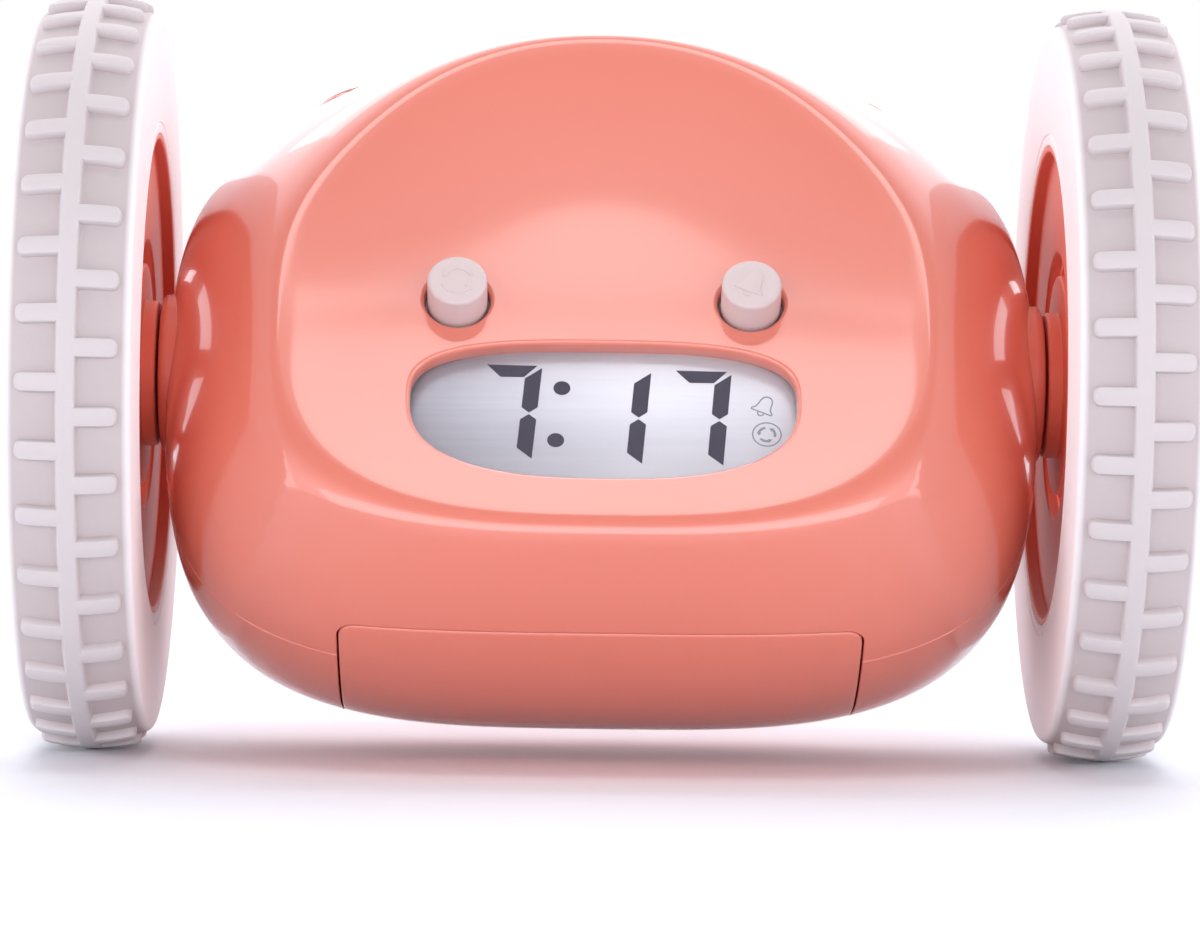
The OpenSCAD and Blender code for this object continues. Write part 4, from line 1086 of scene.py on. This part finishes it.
def coverMaterial():  # clear cover; light passes it without a shadow
    material, tree, shader = startMaterial("clearCover", {
        "Base Color": (0.97, 0.98, 1.0), "Transmission Weight": 1.0, "IOR": 1.38})
    feed(tree, shader.inputs["Roughness"], stepBetween(tree, noise(tree, 40, 2), 0, 1, 0.01, 0.05))
    clear = tree.nodes.new("ShaderNodeBsdfTransparent").outputs["BSDF"]
    ray = tree.nodes.new("ShaderNodeLightPath").outputs
    showMix(tree, ray["Is Shadow Ray"], shader.outputs["BSDF"], clear, "Material Output")
    return material


materials["tyre"] = tyreMaterial()
materials["board"] = boardMaterial()
materials["display"] = displayMaterial()
materials["cover"] = coverMaterial()
print("materials made")

# Each piece onto its body
for piece, bodyName, replaced in (
        (frontCasing, "clock_body", ["front_casing"]), (rearCasing, "clock_body", ["rear_casing"]),
        (collars, "clock_body", []), (barWell, "clock_body", []),
        (snoozeBar, "snooze_bar", ["snooze_bar"]), (batteryDoor, "battery_door", ["battery_door"])):
    settle(piece, materials["casing"], "casing", bodyName, replaced)
for name, piece in keys.items():
    node = name.replace("Key", "_button")
    settle(piece, materials["button"], "button", node, [node])
settle(displayPanel, materials["display"], "display", "clock_body", ["lcd_panel"])
settle(displayCover, materials["cover"], "window", "clock_body", ["lcd_cover"])
settle(displayDigits, materials["segment"], "display", "clock_body")
settle(displaySigns, materials["sign"], "display", "clock_body")
for word, (tyreSkin, discPiece, capPiece) in wheels.items():
    settle(tyreSkin, materials["tyre"], "tyre", word + "_wheel", [word + "_tyre"])
    settle(discPiece, materials["disc"], "disc", word + "_wheel", [word + "_wheel_disc"])
    settle(capPiece, materials["cap"], "hub_cap", word + "_wheel", [word + "_hub_cap"])

kept = {
    "moulding": ["lcd_frame", "battery_tray"], "diffuser": ["lcd_backlight"], "connector": ["lcd_connector"],
    "board": ["main_board", "snooze_board", "rear_board"], "cell": ["battery_cells"],
    "component": ["front_switches", "rear_switches", "buzzer"],
    "screw": ["battery_contacts", "casing_screws", "board_screws"],
}
drive = {  # one of each on both sides
    "moulding": ["gear_case", "gear_cover", "idler_gear", "output_gear"], "component": ["motor_cap"],
    "motor": ["motor_can", "motor_rotor"], "brass": ["motor_pinion", "bushing"],
    "shaft": ["wheel_shaft", "idler_pin"],
}
for key, names in drive.items():
    kept.setdefault(key, []).extend(word + name for word in ("left_", "right_") for name in names)
for key, names in kept.items():
    for name in names:
        nodes[name].data.materials.clear()
        nodes[name].data.materials.append(materials[key])
print("pieces placed")

# The floor, the background and the lamps
studio = {"floor": 6.0, "fadeFrom": 0.3, "fadeTo": 0.9, "bright": 0.95, "dark": 0.22, "mirrored": 2.4,
          "darkSide": (0, -0.5, 0.866), "darkFrom": 0.6, "darkTo": 0.85, "tint": (0.96, 0.93, 1.0)}
bm = bmesh.new()
bmesh.ops.create_grid(bm, x_segments=8, y_segments=8, size=studio["floor"] / 2)
floorMesh = bpy.data.meshes.new("floor")
bm.to_mesh(floorMesh)
bm.free()
floor = bpy.data.objects.new("floor", floorMesh)
bpy.context.scene.collection.objects.link(floor)
floorMaterial = skin("palePaper", (0.87, 0.91, 0.96), (0.84, 0.88, 0.94), 0.6, 0.1, 0.3, 3, 0.02, 400)
floorMesh.materials.append(floorMaterial)
tree = floorMaterial.node_tree
away = tree.nodes.new("ShaderNodeVectorMath")  # far from the clock the paper fades into the white background
away.operation = "LENGTH"
placedIn(tree, away.inputs[0])
ray = tree.nodes.new("ShaderNodeLightPath").outputs
seen = mathNode(tree, "MAXIMUM", ray["Is Camera Ray"],
                mathNode(tree, "MAXIMUM", ray["Is Glossy Ray"], ray["Is Transmission Ray"]))
fade = stepBetween(tree, away.outputs["Value"], studio["fadeFrom"], studio["fadeTo"])
showMix(tree, mathNode(tree, "MULTIPLY", fade, seen), tree.nodes["Principled BSDF"].outputs["BSDF"],
        tree.nodes.new("ShaderNodeEmission").outputs["Emission"], "Material Output")
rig.stage(floor)

world = bpy.data.worlds.new("studio")
bpy.context.scene.world = world
world.use_nodes = True
tree = world.node_tree
background = tree.nodes["Background"]
towards = tree.nodes.new("ShaderNodeVectorMath")  # the tent is darker towards one side
towards.operation = "DOT_PRODUCT"
towards.inputs[1].default_value = studio["darkSide"]
feed(tree, towards.inputs[0], tree.nodes.new("ShaderNodeTexCoord").outputs["Generated"])
tent = stepBetween(tree, towards.outputs["Value"], studio["darkFrom"], studio["darkTo"], studio["bright"],
                   studio["dark"])
ray = tree.nodes.new("ShaderNodeLightPath").outputs
inReflections = mathNode(tree, "MULTIPLY_ADD", ray["Is Glossy Ray"], studio["mirrored"] - 1, 1)
feed(tree, background.inputs["Color"], studio["tint"])
feed(tree, background.inputs["Strength"], mathNode(tree, "MULTIPLY", tent, inReflections))
shown = tree.nodes.new("ShaderNodeBackground")
feed(tree, shown.inputs["Color"], (1, 1, 1))
showMix(tree, mathNode(tree, "MAXIMUM", ray["Is Camera Ray"], ray["Is Transmission Ray"]),
        background.outputs["Background"], shown.outputs["Background"], "World Output")


def softbox(name, spot, aim, size, brightness, colour=(1, 1, 1)):
    data = bpy.data.lights.new(name, "AREA")
    data.color = colour
    data.shape = "RECTANGLE"
    data.size, data.size_y = size
    data.energy = brightness * math.pi * size[0] * size[1]
    lamp = bpy.data.objects.new(name, data)
    lamp.location = spot
    lamp.rotation_euler = (Vector(aim) - Vector(spot)).to_track_quat("-Z", "Y").to_euler()
    bpy.context.scene.collection.objects.link(lamp)


lamps = {  # place, aim, size, brightness and, where it isn't white, colour
    "topBox": ((0, -0.3, 1.7), (0, -0.3, 0), (1.0, 0.42), 4.0),
    "backBox": ((0, 1.2, 1.5), (0, 0, 0.05), (1.8, 0.9), 2.2),
    "frontBox": ((0, -1.3, 0.22), (0, 0, 0.02), (2.4, 0.5), 2.5, (0.97, 0.95, 1.0)),
    "leftBox": ((-0.85, -0.3, 0.3), (0, 0, 0.05), (0.5, 0.5), 2.2),
    "rightBox": ((0.85, -0.3, 0.3), (0, 0, 0.05), (0.5, 0.5), 2.2),
}
for name, values in lamps.items():
    softbox(name, *values)
print("studio set")

json.dump({"cad": [list(corner) for corner in cadBox], "visual": [list(corner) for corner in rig.bounds()]},
          open("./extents.json", "w"))
print("boxes:", open("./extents.json").read())
